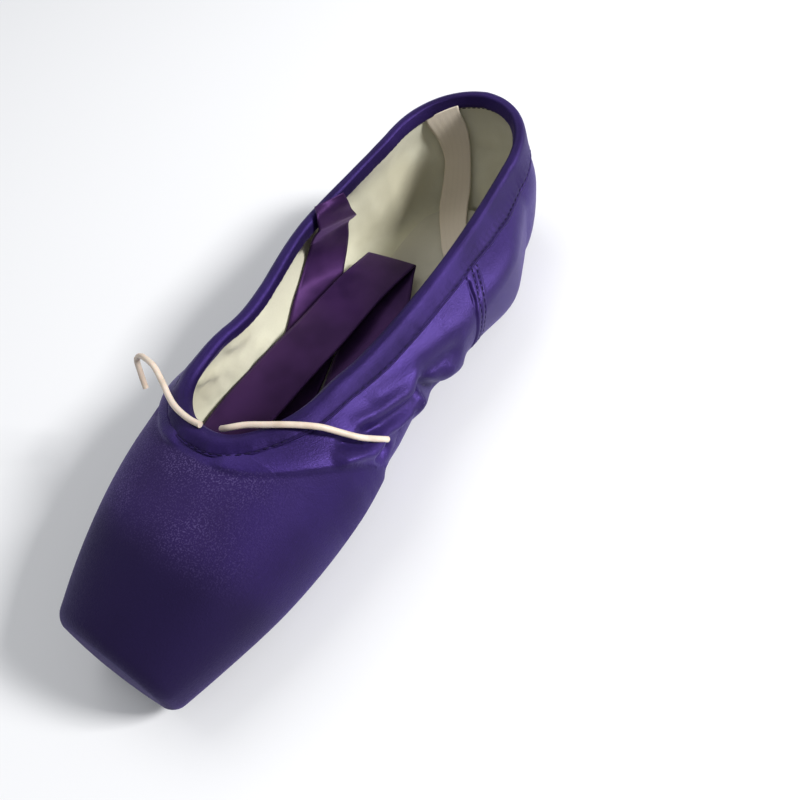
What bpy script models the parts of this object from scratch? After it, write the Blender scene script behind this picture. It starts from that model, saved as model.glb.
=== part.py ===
"""A satin pointe shoe, as a Blender script: metres, +Z up, the toe towards -Y, standing on Z = 0.

The shoe is made on a straight last, so it fits either foot. Every piece is worked out from one surface, the
last, which is a row of cross sections from the platform at the toe to the back of the heel. Each section is two
curves on each side: one from the edge of the tread up to the widest point, one from there over to the crown.
Behind the heel's centre the sections fan round it. The collar is a cut through that surface.
"""
import math
from collections import namedtuple

import bmesh
import bpy
from mathutils import Vector

MM = 0.001
LEFT = 1
RIGHT = -1

# Driving dimensions of the shoe
LENGTH = 235 * MM
GAP = 0.3 * MM
SOLE_THICKNESS = 2.2 * MM
SOCK_THICKNESS = 1.6 * MM
QUARTER_WALL = 1.8 * MM
BOX_WALL = 3.4 * MM
TIP_WALL = 8 * MM
CENTRE_Y = 115.7 * MM

# The platform: a flat tip with a rounded rim, its top set back a little
RIM_RADIUS = 5 * MM
PLATFORM_DOME = 0.9 * MM
PLATFORM_LEAN = math.radians(8.5)
PLATFORM_LEAN_REACH = 45 * MM
PLATFORM_MIDDLE_Z = 20 * MM

# The underside: toe spring, forefoot flat, arch, heel flat
FOREFOOT_FLAT = (34 * MM, 90 * MM)
HEEL_FLAT_START = 182 * MM
TOE_SPRING = 2.3 * MM
ARCH_RISE = 3.8 * MM

# The collar: a U at the throat, then along the quarters and round the heel
THROAT = 62.2 * MM
THROAT_REACH = 34 * MM
THROAT_BLEND = 38 * MM
THROAT_BLEND_LEAD = 4 * MM

# Where the satin turns in under the sole, and the hole that it leaves
LIP = 6 * MM
OPENING_START = 27 * MM
OPENING_REACH = 14 * MM

# Half sizes behind the heel's centre, where the sections fan round it
HEEL_RADIUS = 35.9 * MM
HEEL_SQUARENESS = 2.16
HEEL_BACK = {"widest": 32.0 * MM, "tread": 18.8 * MM, "collar": 32.0 * MM, "sole": 16.6 * MM, "sock": 16.0 * MM}

# The side seams slant forward as they go down, and stand out from the wall like the back seam
SEAM_HEIGHT = 0.5 * MM
SEAM_HALF_WIDTH = 3.2 * MM
SEAM_SHOULDER = 0.7 * MM
SIDE_SEAM_STATION = 156 * MM
SLANT_STATION = 166 * MM
SIDE_SEAM_SLANT = 20 * MM
SIDE_SEAM_SPREAD = 30 * MM
BACK_SEAM_HALF_WIDTH = 2.2 * MM
SEAM_TOP_WAY = 1.5

# The outsole and the sock inside: where they start and how long their round fronts are
SOLE_START = 25 * MM
SOLE_REACH = 10 * MM
SOCK_START = 15 * MM
SOCK_REACH = 9 * MM
SOCK_EDGE = 0.5 * MM

# The binding round the collar, a channel of satin that holds the drawstring. Each point of its outline is how
# far below the upper's edge it lies and how far out from the skin, outer or inner, in millimetres.
BINDING_OUTER = ((9.5, 0.5), (9.5, 1.0), (7.5, 1.4), (3.5, 1.6), (0.5, 1.5), (-1.0, 0.8))
BINDING_TOP = (-1.5, 0.5)
BINDING_INNER = ((-1.0, 0.7), (0.5, 1.3), (3.0, 1.3), (4.6, 1.0), (4.6, 0.5), (0.0, 0.5), (-0.5, 0.0))
BINDING_RETURN = ((-0.5, 0.0), (0.0, 0.5), (4.5, 0.5))
BINDING_REACH = 9.5
WALK_STEPS = 4

# How far down the binding reaches outside, in millimetres, at stations from the throat to the heel: the drawstring
# rolls its edge in at the throat, where less of it shows.
BINDING_DEPTHS = ((62, 5.9), (70, 5.6), (83, 6.4), (100, 7.0), (112, 7.8), (133, 8.0), (158, 8.6), (172, 10.0),
                  (186, 11.4), (203, 11.2), (235, 9.5))

# The ribbons and the heel elastic lie in the shoe as they were put away. Each row is a place along the strip:
# its edge towards the right of the shoe, its edge towards the left, and its thickness, in millimetres.
Strip = namedtuple("Strip", "right_edge left_edge thickness")
RIBBON_RIGHT = (
    Strip((-29.6, 39.4, 40.4), (-29.0, 61.0, 38.6), 1.0),
    Strip((-34.1, 37.6, 34.8), (-33.1, 58.1, 24.4), 1.0),
    Strip((-36.5, 33.3, 27.1), (-33.9, 51.6, 14.8), 1.0),
    Strip((-36.1, 25.6, 22.1), (-31.2, 43.4, 10.8), 1.0),
    Strip((-34.8, 17.6, 19.0), (-24.4, 34.6, 11.2), 1.0),
    Strip((-31.8, 7.1, 15.2), (-14.8, 20.2, 11.6), 1.0),
    Strip((-30.1, -2.7, 13.4), (-9.9, 4.4, 10.4), 1.0),
    Strip((-28.4, -15.0, 10.8), (-6.6, -12.2, 8.6), 1.0),
    Strip((-26.5, -30.0, 8.8), (-4.5, -30.0, 7.7), 1.0),
    Strip((-25.0, -44.0, 9.0), (-3.0, -44.0, 8.8), 1.8),
    Strip((-24.4, -50.0, 10.2), (-2.4, -50.0, 10.2), 5.0),
    Strip((-23.6, -84.0, 10.9), (-1.6, -84.0, 10.9), 5.0),
)
RIBBON_LEFT = (
    Strip((25.0, 60.6, 37.3), (28.6, 38.8, 37.2), 1.0),
    Strip((33.0, 57.5, 23.2), (33.9, 37.8, 32.2), 1.0),
    Strip((33.8, 51.8, 14.2), (36.3, 33.3, 25.5), 1.0),
    Strip((31.2, 43.0, 10.8), (36.0, 25.6, 21.6), 1.0),
    Strip((24.2, 34.0, 11.0), (34.7, 17.6, 18.6), 1.0),
    Strip((15.5, 20.3, 11.2), (31.7, 7.1, 15.0), 1.0),
    Strip((10.5, 5.2, 10.2), (29.7, -3.0, 12.6), 1.0),
    Strip((5.8, -12.5, 8.4), (27.5, -16.0, 9.6), 1.0),
    Strip((3.2, -31.0, 7.6), (25.2, -32.0, 8.0), 1.0),
    Strip((2.4, -50.0, 8.2), (24.4, -50.0, 8.4), 1.0),
    Strip((2.2, -70.0, 9.0), (24.2, -70.0, 9.0), 1.0),
    Strip((2.0, -84.0, 9.1), (24.0, -84.0, 9.1), 1.0),
    Strip((2.0, -87.5, 10.3), (24.0, -87.5, 10.3), 1.0),
    Strip((2.0, -84.0, 11.5), (24.0, -84.0, 11.5), 1.0),
    Strip((2.2, -62.0, 11.0), (24.2, -62.0, 11.2), 1.0),
    Strip((2.0, -40.5, 10.2), (24.0, -40.0, 10.6), 1.0),
    Strip((-1.5, -21.0, 10.6), (20.3, -17.5, 11.2), 1.0),
    Strip((-8.1, 3.3, 12.0), (12.0, 12.3, 12.6), 1.0),
    Strip((-15.1, 26.3, 12.6), (5.0, 35.3, 11.9), 1.0),
    Strip((-23.3, 49.5, 12.4), (-2.0, 51.5, 12.0), 1.0),
    Strip((-25.2, 55.1, 13.6), (-3.4, 56.0, 13.2), 1.0),
    Strip((-25.4, 51.2, 14.8), (-3.4, 52.3, 14.4), 1.0),
    Strip((-26.5, 37.0, 16.6), (-4.7, 33.5, 16.4), 1.0),
    Strip((-26.3, 22.6, 18.5), (-4.4, 20.6, 18.2), 1.0),
    Strip((-27.6, 8.3, 18.2), (-5.5, 6.5, 17.8), 1.0),
    Strip((-31.0, -17.2, 17.4), (-9.2, -17.5, 15.8), 1.0),
    Strip((-32.4, -41.5, 16.0), (-11.0, -41.0, 14.2), 1.0),
    Strip((-28.3, -60.0, 15.0), (-6.5, -60.0, 14.3), 1.0),
    Strip((-26.0, -80.0, 14.6), (-4.0, -80.0, 14.4), 1.0),
)
HEEL_ELASTIC = (
    Strip((-20.0, 102.2, 41.8), (-9.8, 110.7, 43.8), 1.2),
    Strip((-18.2, 105.7, 32.6), (-7.8, 111.5, 36.5), 1.2),
    Strip((-17.2, 106.3, 22.5), (-7.0, 110.7, 26.3), 1.2),
    Strip((-17.2, 101.4, 12.2), (-5.4, 104.9, 12.8), 1.2),
    Strip((-15.0, 94.0, 7.9), (-3.4, 97.6, 8.1), 1.2),
    Strip((-8.9, 83.5, 7.6), (3.2, 84.8, 7.8), 1.2),
    Strip((3.0, 67.5, 7.8), (13.3, 74.4, 8.0), 1.2),
    Strip((19.5, 63.0, 9.0), (19.0, 75.4, 9.2), 1.2),
    Strip((27.4, 65.0, 13.5), (25.8, 77.6, 14.0), 1.2),
    Strip((31.1, 66.6, 24.0), (28.2, 79.0, 24.0), 1.2),
    Strip((26.2, 68.0, 35.8), (25.0, 80.6, 35.6), 1.2),
)
STRIP_STEPS = 3

# The free ends of the drawstring: round cord, out of the casing at the throat. The left one comes from the inside,
# over the casing and down the side of the box. The right one arches out over the side and hooks down.
CORD_DIAMETER = 1.9 * MM
CORD_SPACING = 6 * MM
CORD_LEFT = ((2.0, -50.0, 49.5), (3.6, -49.9, 50.6), (5.9, -49.0, 51.5), (9.5, -46.6, 51.65), (14.3, -44.2, 51.5),
             (18.8, -41.7, 51.0), (22.6, -39.2, 49.7), (27.0, -36.3, 47.4), (30.2, -34.0, 43.8),
             (34.3, -31.2, 39.6), (36.4, -28.6, 36.4), (38.2, -24.8, 31.6))
CORD_RIGHT = ((-2.0, -52.8, 52.9), (-6.0, -52.8, 52.9), (-10.5, -52.1, 52.8), (-15.0, -50.8, 52.2),
              (-19.6, -48.8, 51.5), (-24.5, -46.1, 51.5), (-29.8, -43.3, 52.8), (-33.0, -42.3, 52.8),
              (-36.4, -41.6, 52.2), (-39.4, -41.1, 51.2), (-41.9, -41.2, 49.5), (-43.3, -41.8, 47.5),
              (-43.2, -43.1, 43.8), (-42.8, -44.1, 41.5), (-41.6, -45.7, 38.5))

# One row for each cross section of the last, in millimetres from the platform:
# widest, tread and sole are half widths, widest_z and top_left or top_right are heights, collar_left and
# collar_right are the half widths of the opening, lean is the wall's slope at its top in degrees, and the
# three fills say how square the curve is below the widest point, above it and at the crown.
Section = namedtuple("Section", "station widest tread sole widest_z top_left top_right collar_left "
                                "collar_right lean low_fill high_fill crown_fill")
SECTIONS = (
    Section(0, 22.1, 13.5, 11.5, 20.4, 33.7, 33.7, 20.0, 20.0, 90, 0.59, 0.54, 0.41),
    Section(14, 27.5, 17.1, 15.0, 20.9, 38.2, 38.2, 20.0, 20.0, 90, 0.54, 0.61, 0.46),
    Section(38, 33.9, 22.6, 20.0, 21.4, 45.1, 45.1, 20.0, 20.0, 90, 0.62, 0.64, 0.51),
    Section(70, 38.5, 24.0, 21.5, 22.9, 51.2, 51.2, 19.0, 24.4, 60, 0.58, 0.60, 0.39),
    Section(105, 36.6, 21.7, 17.0, 25.6, 44.9, 45.5, 23.4, 23.5, 42, 0.54, 0.51, 0.44),
    Section(145, 39.8, 19.5, 12.5, 27.0, 44.2, 47.4, 26.4, 28.2, 29, 0.64, 0.49, 0.35),
    Section(176, 39.0, 20.7, 13.8, 27.3, 43.6, 47.5, 25.7, 27.4, 15.1, 0.97, 0.50, 0.40),
    Section(190, 34.3, 20.8, 14.5, 27.4, 44.0, 47.6, 25.0, 26.6, 10, 1.00, 0.51, 0.42),
    Section(235, 19.3, 16.0, 13.5, 28.2, 49.7, 49.7, 23.0, 23.0, 4, 0.13, 0.51, 0.43),
)
LENGTH_COLUMNS = {"station", "widest", "tread", "sole", "widest_z", "top_left", "top_right",
                  "collar_left", "collar_right"}
TABLE = {name: [getattr(row, name) * (MM if name in LENGTH_COLUMNS else 1) for row in SECTIONS]
         for name in Section._fields}

# How finely the upper is divided
RIM_STEPS = 3
CLOSED_STATIONS = (9, 15, 21, 27, 28.5, 32, 38, 46, 54)
THROAT_STEPS = 7
QUARTER_STEPS = 8
BACK_QUARTER_STEPS = 4
HEEL_STEPS = 7
LIP_ROWS = 1
LOW_ROWS = 5
HIGH_ROWS = 7


def clamp(value, low=0.0, high=1.0):
    return max(low, min(high, value))


def smooth(value):
    value = clamp(value)
    return value * value * (3 - 2 * value)


def column(name, station):
    """Reads one column of the table at any station, along a smooth curve through its rows."""
    stations, values = TABLE["station"], TABLE[name]
    station = clamp(station, stations[0], stations[-1])
    last = len(stations) - 2
    i = min(last, max(k for k in range(last + 1) if stations[k] <= station))
    slopes = [(values[k + 1] - values[k]) / (stations[k + 1] - stations[k]) for k in range(last + 1)]

    def tangent(k):
        if k == 0 or k == last + 1:
            return slopes[min(k, last)]
        before, after = stations[k] - stations[k - 1], stations[k + 1] - stations[k]
        return (slopes[k - 1] * after + slopes[k] * before) / (before + after)

    step = stations[i + 1] - stations[i]
    t = (station - stations[i]) / step
    return ((2 * t ** 3 - 3 * t ** 2 + 1) * values[i] + (t ** 3 - 2 * t ** 2 + t) * step * tangent(i)
            + (3 * t ** 2 - 2 * t ** 3) * values[i + 1] + (t ** 3 - t ** 2) * step * tangent(i + 1))


def bezier(a, b, c, d, t):
    s = 1 - t
    return s ** 3 * a + 3 * s * s * t * b + 3 * s * t * t * c + t ** 3 * d


def underside(station):
    """Height of the upper's underside: the sole lies GAP below it."""
    height = SOLE_THICKNESS + GAP
    if station < FOREFOOT_FLAT[0]:
        height += TOE_SPRING * (1 - station / FOREFOOT_FLAT[0]) ** 2
    if FOREFOOT_FLAT[1] < station < HEEL_FLAT_START:
        along = (station - FOREFOOT_FLAT[1]) / (HEEL_FLAT_START - FOREFOOT_FLAT[1])
        height += ARCH_RISE * math.sin(math.pi * along) ** 2
    return height


def heel_turn(station):
    """Angle that a section has turned round the heel's centre, 0 before it and a quarter turn at the back."""
    centre = LENGTH - HEEL_RADIUS
    return clamp((station - centre) / HEEL_RADIUS) * math.pi / 2


def spread(name, station, back):
    """A half width from the table, which swings to its size behind the heel along a rounded square."""
    turn = heel_turn(station)
    side = column(name, min(station, LENGTH - HEEL_RADIUS))
    if turn == 0:
        return side
    n = HEEL_SQUARENESS
    return ((math.cos(turn) / side) ** n + (math.sin(turn) / back) ** n) ** (-1 / n)


def collar_half(side, station):
    """Half width of the collar's opening, nothing in front of the throat."""
    name = "collar_left" if side == LEFT else "collar_right"
    along = clamp((station - THROAT) / THROAT_REACH)
    return spread(name, station, HEEL_BACK["collar"]) * math.sqrt(1 - (1 - along) ** 3)


class Profile:
    """One side of one cross section, as distances out from the centre and heights."""

    def __init__(self, side, station):
        self.side, self.station = side, station
        rim = clamp(station / RIM_RADIUS)
        inset = RIM_RADIUS * (1 - math.sqrt(1 - (1 - rim) ** 2))
        self.widest = spread("widest", station, HEEL_BACK["widest"]) - inset
        self.tread = spread("tread", station, HEEL_BACK["tread"]) - inset * 0.6
        self.bottom = underside(station) + inset
        self.widest_z = column("widest_z", station)
        tops = column("top_left", station), column("top_right", station)
        apart = smooth((station - THROAT) / THROAT_BLEND) / 2
        self.top = sum(tops) / 2 + (tops[0] - tops[1]) * apart * side - inset
        part = smooth((station - THROAT + THROAT_BLEND_LEAD) / THROAT_BLEND)
        name = "collar_left" if side == LEFT else "collar_right"
        self.end = spread(name, station, HEEL_BACK["collar"]) * part
        lean = math.radians(90 + part * (column("lean", station) - 90))
        reach = column("crown_fill", station) * math.hypot(self.widest - self.end, self.top - self.widest_z)
        self.handle = (self.end + reach * math.sin(lean), self.top - reach * math.cos(lean))
        self.low_fill, self.high_fill = column("low_fill", station), column("high_fill", station)

    def low(self, t):
        out = bezier(self.tread, self.tread + self.low_fill * (self.widest - self.tread),
                     self.widest, self.widest, t)
        up = bezier(self.bottom, self.bottom, self.widest_z - self.low_fill * (self.widest_z - self.bottom),
                    self.widest_z, t)
        return out, up

    def high(self, t):
        out = bezier(self.widest, self.widest, self.handle[0], self.end, t)
        up = bezier(self.widest_z, self.widest_z + self.high_fill * (self.top - self.widest_z),
                    self.handle[1], self.top, t)
        return out, up

    def cut(self):
        """Where along the upper curve the collar cuts it."""
        if self.station <= THROAT:
            return 1.0
        target = collar_half(self.side, self.station)
        if target <= self.end:
            return 1.0
        low, high = 0.0, 1.0
        for _ in range(30):
            middle = (low + high) / 2
            if self.high(middle)[0] > target:
                low = middle
            else:
                high = middle
        return (low + high) / 2

    def place(self, out, up):
        """Puts a point of this section in space."""
        turn = heel_turn(self.station)
        y = min(self.station, LENGTH - HEEL_RADIUS) - CENTRE_Y + out * math.sin(turn)
        near = clamp(1 - self.station / PLATFORM_LEAN_REACH) ** 2
        y += near * math.tan(PLATFORM_LEAN) * (up - PLATFORM_MIDDLE_Z)
        return Vector((self.side * out * math.cos(turn), y, up))


def last_point(side, station, way):
    """A point of the last: way runs 0 to 1 up to the widest point and 1 to 2 over to the crown."""
    profile = Profile(side, station)
    return profile.place(*(profile.low(way) if way <= 1 else profile.high(way - 1)))


def last_normal(side, station, way):
    """The outward normal of the last there."""
    du, dw = 0.4 * MM, 0.01
    station = clamp(station, RIM_RADIUS, LENGTH)
    along = last_point(side, min(station + du, LENGTH), way) - last_point(side, station - du, way)
    around = last_point(side, station, min(way + dw, 2)) - last_point(side, station, max(way - dw, 0))
    normal = along.cross(around) * side
    if heel_turn(station) > math.pi / 2 - 0.001 or (way > 1.999 and station <= THROAT):
        normal.x = 0
    return normal.normalized()


def slanted(station, way):
    """Moves the sections near the side seam forward low down, so that they follow its slant."""
    near = math.exp(-((station - SLANT_STATION) / SIDE_SEAM_SPREAD) ** 2)
    return station - SIDE_SEAM_SLANT * (1 - way / 2) * near


def wall(station):
    """Thickness of the upper: stiff and thick at the box, satin and cotton behind it."""
    return BOX_WALL + (QUARTER_WALL - BOX_WALL) * smooth((station - 50 * MM) / (35 * MM))


def opening_half(station):
    """Half width of the hole under the upper, which the sole closes."""
    along = clamp((station - OPENING_START) / OPENING_REACH)
    return (spread("tread", station, HEEL_BACK["tread"]) - LIP) * math.sqrt(1 - (1 - along) ** 2)


def upper_stations():
    """Stations of the upper's columns, each with the height that a seam raises it by."""
    rows = [(RIM_RADIUS * (1 - math.cos(math.pi / 2 * k / RIM_STEPS)), 0) for k in range(RIM_STEPS + 1)]
    rows += [(station * MM, 0) for station in CLOSED_STATIONS]
    for k in range(THROAT_STEPS + 1):
        opened = math.sin(math.pi / 2 * k / THROAT_STEPS)
        rows.append((THROAT + THROAT_REACH * (1 - (1 - opened ** 2) ** (1 / 3)), 0))
    seam_edges = [SIDE_SEAM_STATION + sign * (SEAM_HALF_WIDTH + shoulder) for sign, shoulder in
                  ((-1, SEAM_SHOULDER), (-1, 0), (1, 0), (1, SEAM_SHOULDER))]
    start, stop = rows[-1][0], seam_edges[0]
    rows += [(start + (stop - start) * k / QUARTER_STEPS, 0) for k in range(1, QUARTER_STEPS)]
    rows += list(zip(seam_edges, (0, SEAM_HEIGHT, SEAM_HEIGHT, 0)))
    start, stop = seam_edges[-1], LENGTH - HEEL_RADIUS
    rows += [(start + (stop - start) * k / BACK_QUARTER_STEPS, 0) for k in range(1, BACK_QUARTER_STEPS + 1)]
    back_edge = LENGTH - HEEL_RADIUS * (BACK_SEAM_HALF_WIDTH / HEEL_BACK["widest"]) * 2 / math.pi
    rows += [(stop + (back_edge - SEAM_SHOULDER - stop) * k / HEEL_STEPS, 0) for k in range(1, HEEL_STEPS + 1)]
    rows += [(back_edge, SEAM_HEIGHT), (LENGTH, SEAM_HEIGHT)]
    return rows


def upper_column(side, station, raised):
    """The outer and inner points of one column of the upper, from the lip under the sole to its top."""
    outer, inner = [], []
    quarter = station > THROAT + THROAT_REACH
    base = Profile(side, slanted(station, 0) if quarter else station)
    hole = opening_half(base.station)
    thickness = wall(station)
    for k in range(LIP_ROWS + 1):
        out = hole + (base.tread - hole) * k / (LIP_ROWS + 1)
        outer.append(base.place(out, base.bottom))
        inner.append(base.place(out, base.bottom + thickness))
    ways = [k / LOW_ROWS for k in range(LOW_ROWS + 1)]
    ways += [1 + k / HIGH_ROWS for k in range(1, HIGH_ROWS + 1)]
    for way in ways:
        moved = slanted(station, way) if quarter else station
        profile = Profile(side, moved)
        lift = raised if 0 < way < SEAM_TOP_WAY else 0
        if way > 1:
            way = 1 + (way - 1) * profile.cut()
        point = last_point(side, moved, way)
        normal = last_normal(side, moved, way)
        if way == 0:
            normal = Vector((0, 0, -1))
        outer.append(point + normal * lift)
        inner.append(point - normal * thickness)
    for points in (outer, inner):
        if station >= LENGTH or station <= THROAT:
            points[-1].x = 0
        if station <= OPENING_START:
            points[0].x = 0
        if station >= LENGTH:
            for point in points:
                point.x = 0
    return outer, inner


def collar_frame(side, station):
    """The collar's cut at a station: its way on the last, and the directions along, out of and down the wall."""
    way = 1 + Profile(side, station).cut()
    step = 0.2 * MM
    points = []
    for near in (max(THROAT + 0.01 * MM, station - step), min(LENGTH, station + step)):
        points.append(last_point(side, near, 1 + Profile(side, near).cut()))
    if station < THROAT + 0.1 * MM:
        along = Vector((side, 0, 0))
    elif station >= LENGTH:
        along = Vector((-side, 0, 0))
    else:
        along = (points[1] - points[0]).normalized()
    out = last_normal(side, station, way)
    down = along.cross(out) * side
    return way, along, out, down.normalized()


def walk_down(side, station, distance):
    """Walks over the last, square to the collar: the point and the normal at that distance, and its station."""
    way, _, out, down = collar_frame(side, station)
    if distance <= 0:
        return last_point(side, station, way) + down * distance, out, station
    du, dw = 0.3 * MM, 0.01
    for _ in range(WALK_STEPS):
        u0, u1 = max(station - du, RIM_RADIUS), min(station + du, LENGTH)
        w0, w1 = max(way - dw, 0), min(way + dw, 2)
        along = (last_point(side, u1, way) - last_point(side, u0, way)) / (u1 - u0)
        around = (last_point(side, station, w1) - last_point(side, station, w0)) / (w1 - w0)
        normal = along.cross(around).normalized()
        step = (down - normal * down.dot(normal)).normalized() * (distance / WALK_STEPS)
        aa, ab, bb = along.dot(along), along.dot(around), around.dot(around)
        det = aa * bb - ab * ab
        pa, pb = step.dot(along), step.dot(around)
        station = clamp(station + (pa * bb - pb * ab) / det, RIM_RADIUS, LENGTH)
        way = clamp(way + (pb * aa - pa * ab) / det, 0, 2)
    return last_point(side, station, way), last_normal(side, station, way), station


def quad_strip(bm, first, second, flip=False):
    """Faces between two rows of vertices of one length."""
    for a, b, c, d in zip(first, first[1:], second[1:], second):
        corners = []
        for vertex in (a, b, c, d):
            if vertex not in corners:
                corners.append(vertex)
        if len(corners) > 2:
            bm.faces.new(corners[::-1] if flip else corners)


def close_solid(bm, merge=0.00001):
    """Merges the shared points, drops the faces that vanish and turns every face outwards."""
    bmesh.ops.remove_doubles(bm, verts=bm.verts, dist=merge)
    bmesh.ops.dissolve_degenerate(bm, edges=bm.edges, dist=merge)
    bmesh.ops.triangulate(bm, faces=bm.faces)
    bmesh.ops.recalc_face_normals(bm, faces=bm.faces)


def add_object(name, bm, material):
    mesh = bpy.data.meshes.new(name)
    bm.to_mesh(mesh)
    bm.free()
    mesh.shade_smooth()
    mesh.set_sharp_from_angle(angle=math.radians(40))
    mesh.materials.append(material)
    item = bpy.data.objects.new(name, mesh)
    bpy.context.scene.collection.objects.link(item)
    return item


def add_material(name, colour, roughness, metallic=0.0):
    material = bpy.data.materials.new(name)
    material.use_nodes = True
    shader = material.node_tree.nodes["Principled BSDF"]
    shader.inputs["Base Color"].default_value = (*colour, 1)
    shader.inputs["Roughness"].default_value = roughness
    shader.inputs["Metallic"].default_value = metallic
    return material


def cap_rings(bm, ring, depth, shrinks):
    """Closes a ring of points with smaller rings and a centre, pushed along Y like a shallow dome."""
    middle_z = (min(p.co.z for p in ring) + max(p.co.z for p in ring)) / 2
    level = min(ring, key=lambda vertex: abs(vertex.co.z - middle_z))
    centre = Vector((0, level.co.y, middle_z))
    previous = ring
    for shrink in shrinks:
        current = []
        for vertex in ring:
            point = centre + (vertex.co - centre) * shrink
            point.y -= depth * (1 - shrink ** 2)
            current.append(bm.verts.new(point))
        quad_strip(bm, previous + previous[:1], current + current[:1])
        previous = current
    tip = bm.verts.new(centre + Vector((0, -depth, 0)))
    for a, b in zip(previous, previous[1:] + previous[:1]):
        bm.faces.new((a, b, tip))


def build_upper(material):
    """The hollow upper: outer and inner skins, joined at the collar and round the hole under the sole."""
    bm = bmesh.new()
    stations = upper_stations()
    inner_start = next(k for k, row in enumerate(stations) if row[0] >= TIP_WALL)
    skins = {}
    for side in (LEFT, RIGHT):
        columns = [upper_column(side, station, raised) for station, raised in stations]
        outer = [[bm.verts.new(point) for point in column_points[0]] for column_points in columns]
        inner = [[bm.verts.new(point) for point in column_points[1]] for column_points in columns]
        for first, second in zip(outer, outer[1:]):
            quad_strip(bm, first, second)
        for first, second in zip(inner[inner_start:], inner[inner_start + 1:]):
            quad_strip(bm, first, second)
        throat = next(k for k, row in enumerate(stations) if row[0] >= THROAT)
        quad_strip(bm, [c[-1] for c in outer[throat:]], [c[-1] for c in inner[throat:]])
        hole = next(k for k, row in enumerate(stations) if row[0] > OPENING_START) - 1
        quad_strip(bm, [c[0] for c in outer[hole:]], [c[0] for c in inner[hole:]])
        skins[side] = outer, inner
    for layer, start, depth, shrinks in ((0, 0, PLATFORM_DOME, (0.55,)),
                                         (1, inner_start, BOX_WALL, (0.93, 0.6))):
        ring = skins[LEFT][layer][start] + skins[RIGHT][layer][start][::-1]
        cap_rings(bm, ring, depth, shrinks)
    close_solid(bm)
    return add_object("upper", bm, material)


def flat_piece(name, stations, half, bottom, thickness, material):
    """A flat piece of the sole: an outline in plan, with a bottom and an even thickness."""
    bm = bmesh.new()
    low, high = [], []
    for station in stations:
        turn = heel_turn(station)
        y = min(station, LENGTH - HEEL_RADIUS) - CENTRE_Y
        points = []
        for part in (-1, -0.5, 0, 0.5, 1):
            out = half(station) * part
            points.append(Vector((out * math.cos(turn), y + abs(out) * math.sin(turn), bottom(station))))
        low.append([bm.verts.new(point) for point in points])
        high.append([bm.verts.new(point + Vector((0, 0, thickness))) for point in points])
    for skin in (low, high):
        for first, second in zip(skin, skin[1:]):
            quad_strip(bm, first, second)
    for edge in (0, -1):
        quad_strip(bm, [row[edge] for row in low], [row[edge] for row in high])
    close_solid(bm)
    return add_object(name, bm, material)


def round_front(station, start, reach):
    return math.sqrt(1 - (1 - clamp((station - start) / reach)) ** 2)


def flat_stations(start, reach, front_steps=4):
    """Stations of a flat piece: close at its round front, even over the tread, fanned round the heel."""
    rows = [start + reach * (1 - math.cos(math.pi / 2 * k / front_steps)) for k in range(front_steps + 1)]
    centre = LENGTH - HEEL_RADIUS
    middle = [FOREFOOT_FLAT[0], 50 * MM, 70 * MM, FOREFOOT_FLAT[1]]
    middle += [FOREFOOT_FLAT[1] + (HEEL_FLAT_START - FOREFOOT_FLAT[1]) * k / 8 for k in range(1, 9)]
    rows += [station for station in middle if station > rows[-1] + 2 * MM] + [centre]
    return rows + [centre + HEEL_RADIUS * k / 8 for k in range(1, 9)]


def build_outsole(material):
    """The narrow leather sole, flat under the forefoot and the heel."""
    def half(station):
        return spread("sole", station, HEEL_BACK["sole"]) * round_front(station, SOLE_START, SOLE_REACH)

    def bottom(station):
        return underside(station) - GAP - SOLE_THICKNESS
    return flat_piece("outsole", flat_stations(SOLE_START, SOLE_REACH), half, bottom, SOLE_THICKNESS, material)


def build_insole(material):
    """The sock, on the turned-in edge of the upper."""
    def half(station):
        tread = spread("tread", station, HEEL_BACK["sock"]) + SOCK_EDGE
        return tread * round_front(station, SOCK_START, SOCK_REACH)

    def bottom(station):
        return underside(station) + wall(station) + GAP
    return flat_piece("insole", flat_stations(SOCK_START, SOCK_REACH), half, bottom, SOCK_THICKNESS, material)


def collar_stations():
    return [station for station, _ in upper_stations() if station >= THROAT]


def binding_depth(station):
    """How far down the binding reaches outside at a station."""
    for (start, before), (stop, after) in zip(BINDING_DEPTHS, BINDING_DEPTHS[1:]):
        if station <= stop * MM:
            return before + (after - before) * smooth((station - start * MM) / ((stop - start) * MM))
    return BINDING_DEPTHS[-1][1]


def build_binding(material):
    """The satin channel that straddles the collar's edge, all the way round."""
    bm = bmesh.new()
    ring = [(LEFT, station) for station in collar_stations()]
    ring += [(RIGHT, station) for station in collar_stations()[-2:0:-1]]
    sections = []
    for side, station in ring:
        share = binding_depth(station) / BINDING_REACH

        def outside(rows):
            places = [walk_down(side, station, below * (share if below > 0 else 1) * MM) + (out,)
                      for below, out in rows]
            return [point + normal * out * MM for point, normal, _, out in places]

        def inside(rows):
            places = [walk_down(side, station, below * MM) + (out,) for below, out in rows]
            return [point - normal * (wall(at) + out * MM) for point, normal, at, out in places]
        point, normal, _ = walk_down(side, station, BINDING_TOP[0] * MM)
        top = point - normal * wall(station) * BINDING_TOP[1]
        points = outside(BINDING_OUTER) + [top] + inside(BINDING_INNER) + outside(BINDING_RETURN)
        if station >= LENGTH or station <= THROAT:
            for point in points:
                point.x = 0
        sections.append([bm.verts.new(point) for point in points])
    for first, second in zip(sections, sections[1:] + sections[:1]):
        quad_strip(bm, first + first[:1], second + second[:1])
    close_solid(bm)
    return add_object("drawstring_casing", bm, material)


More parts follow.
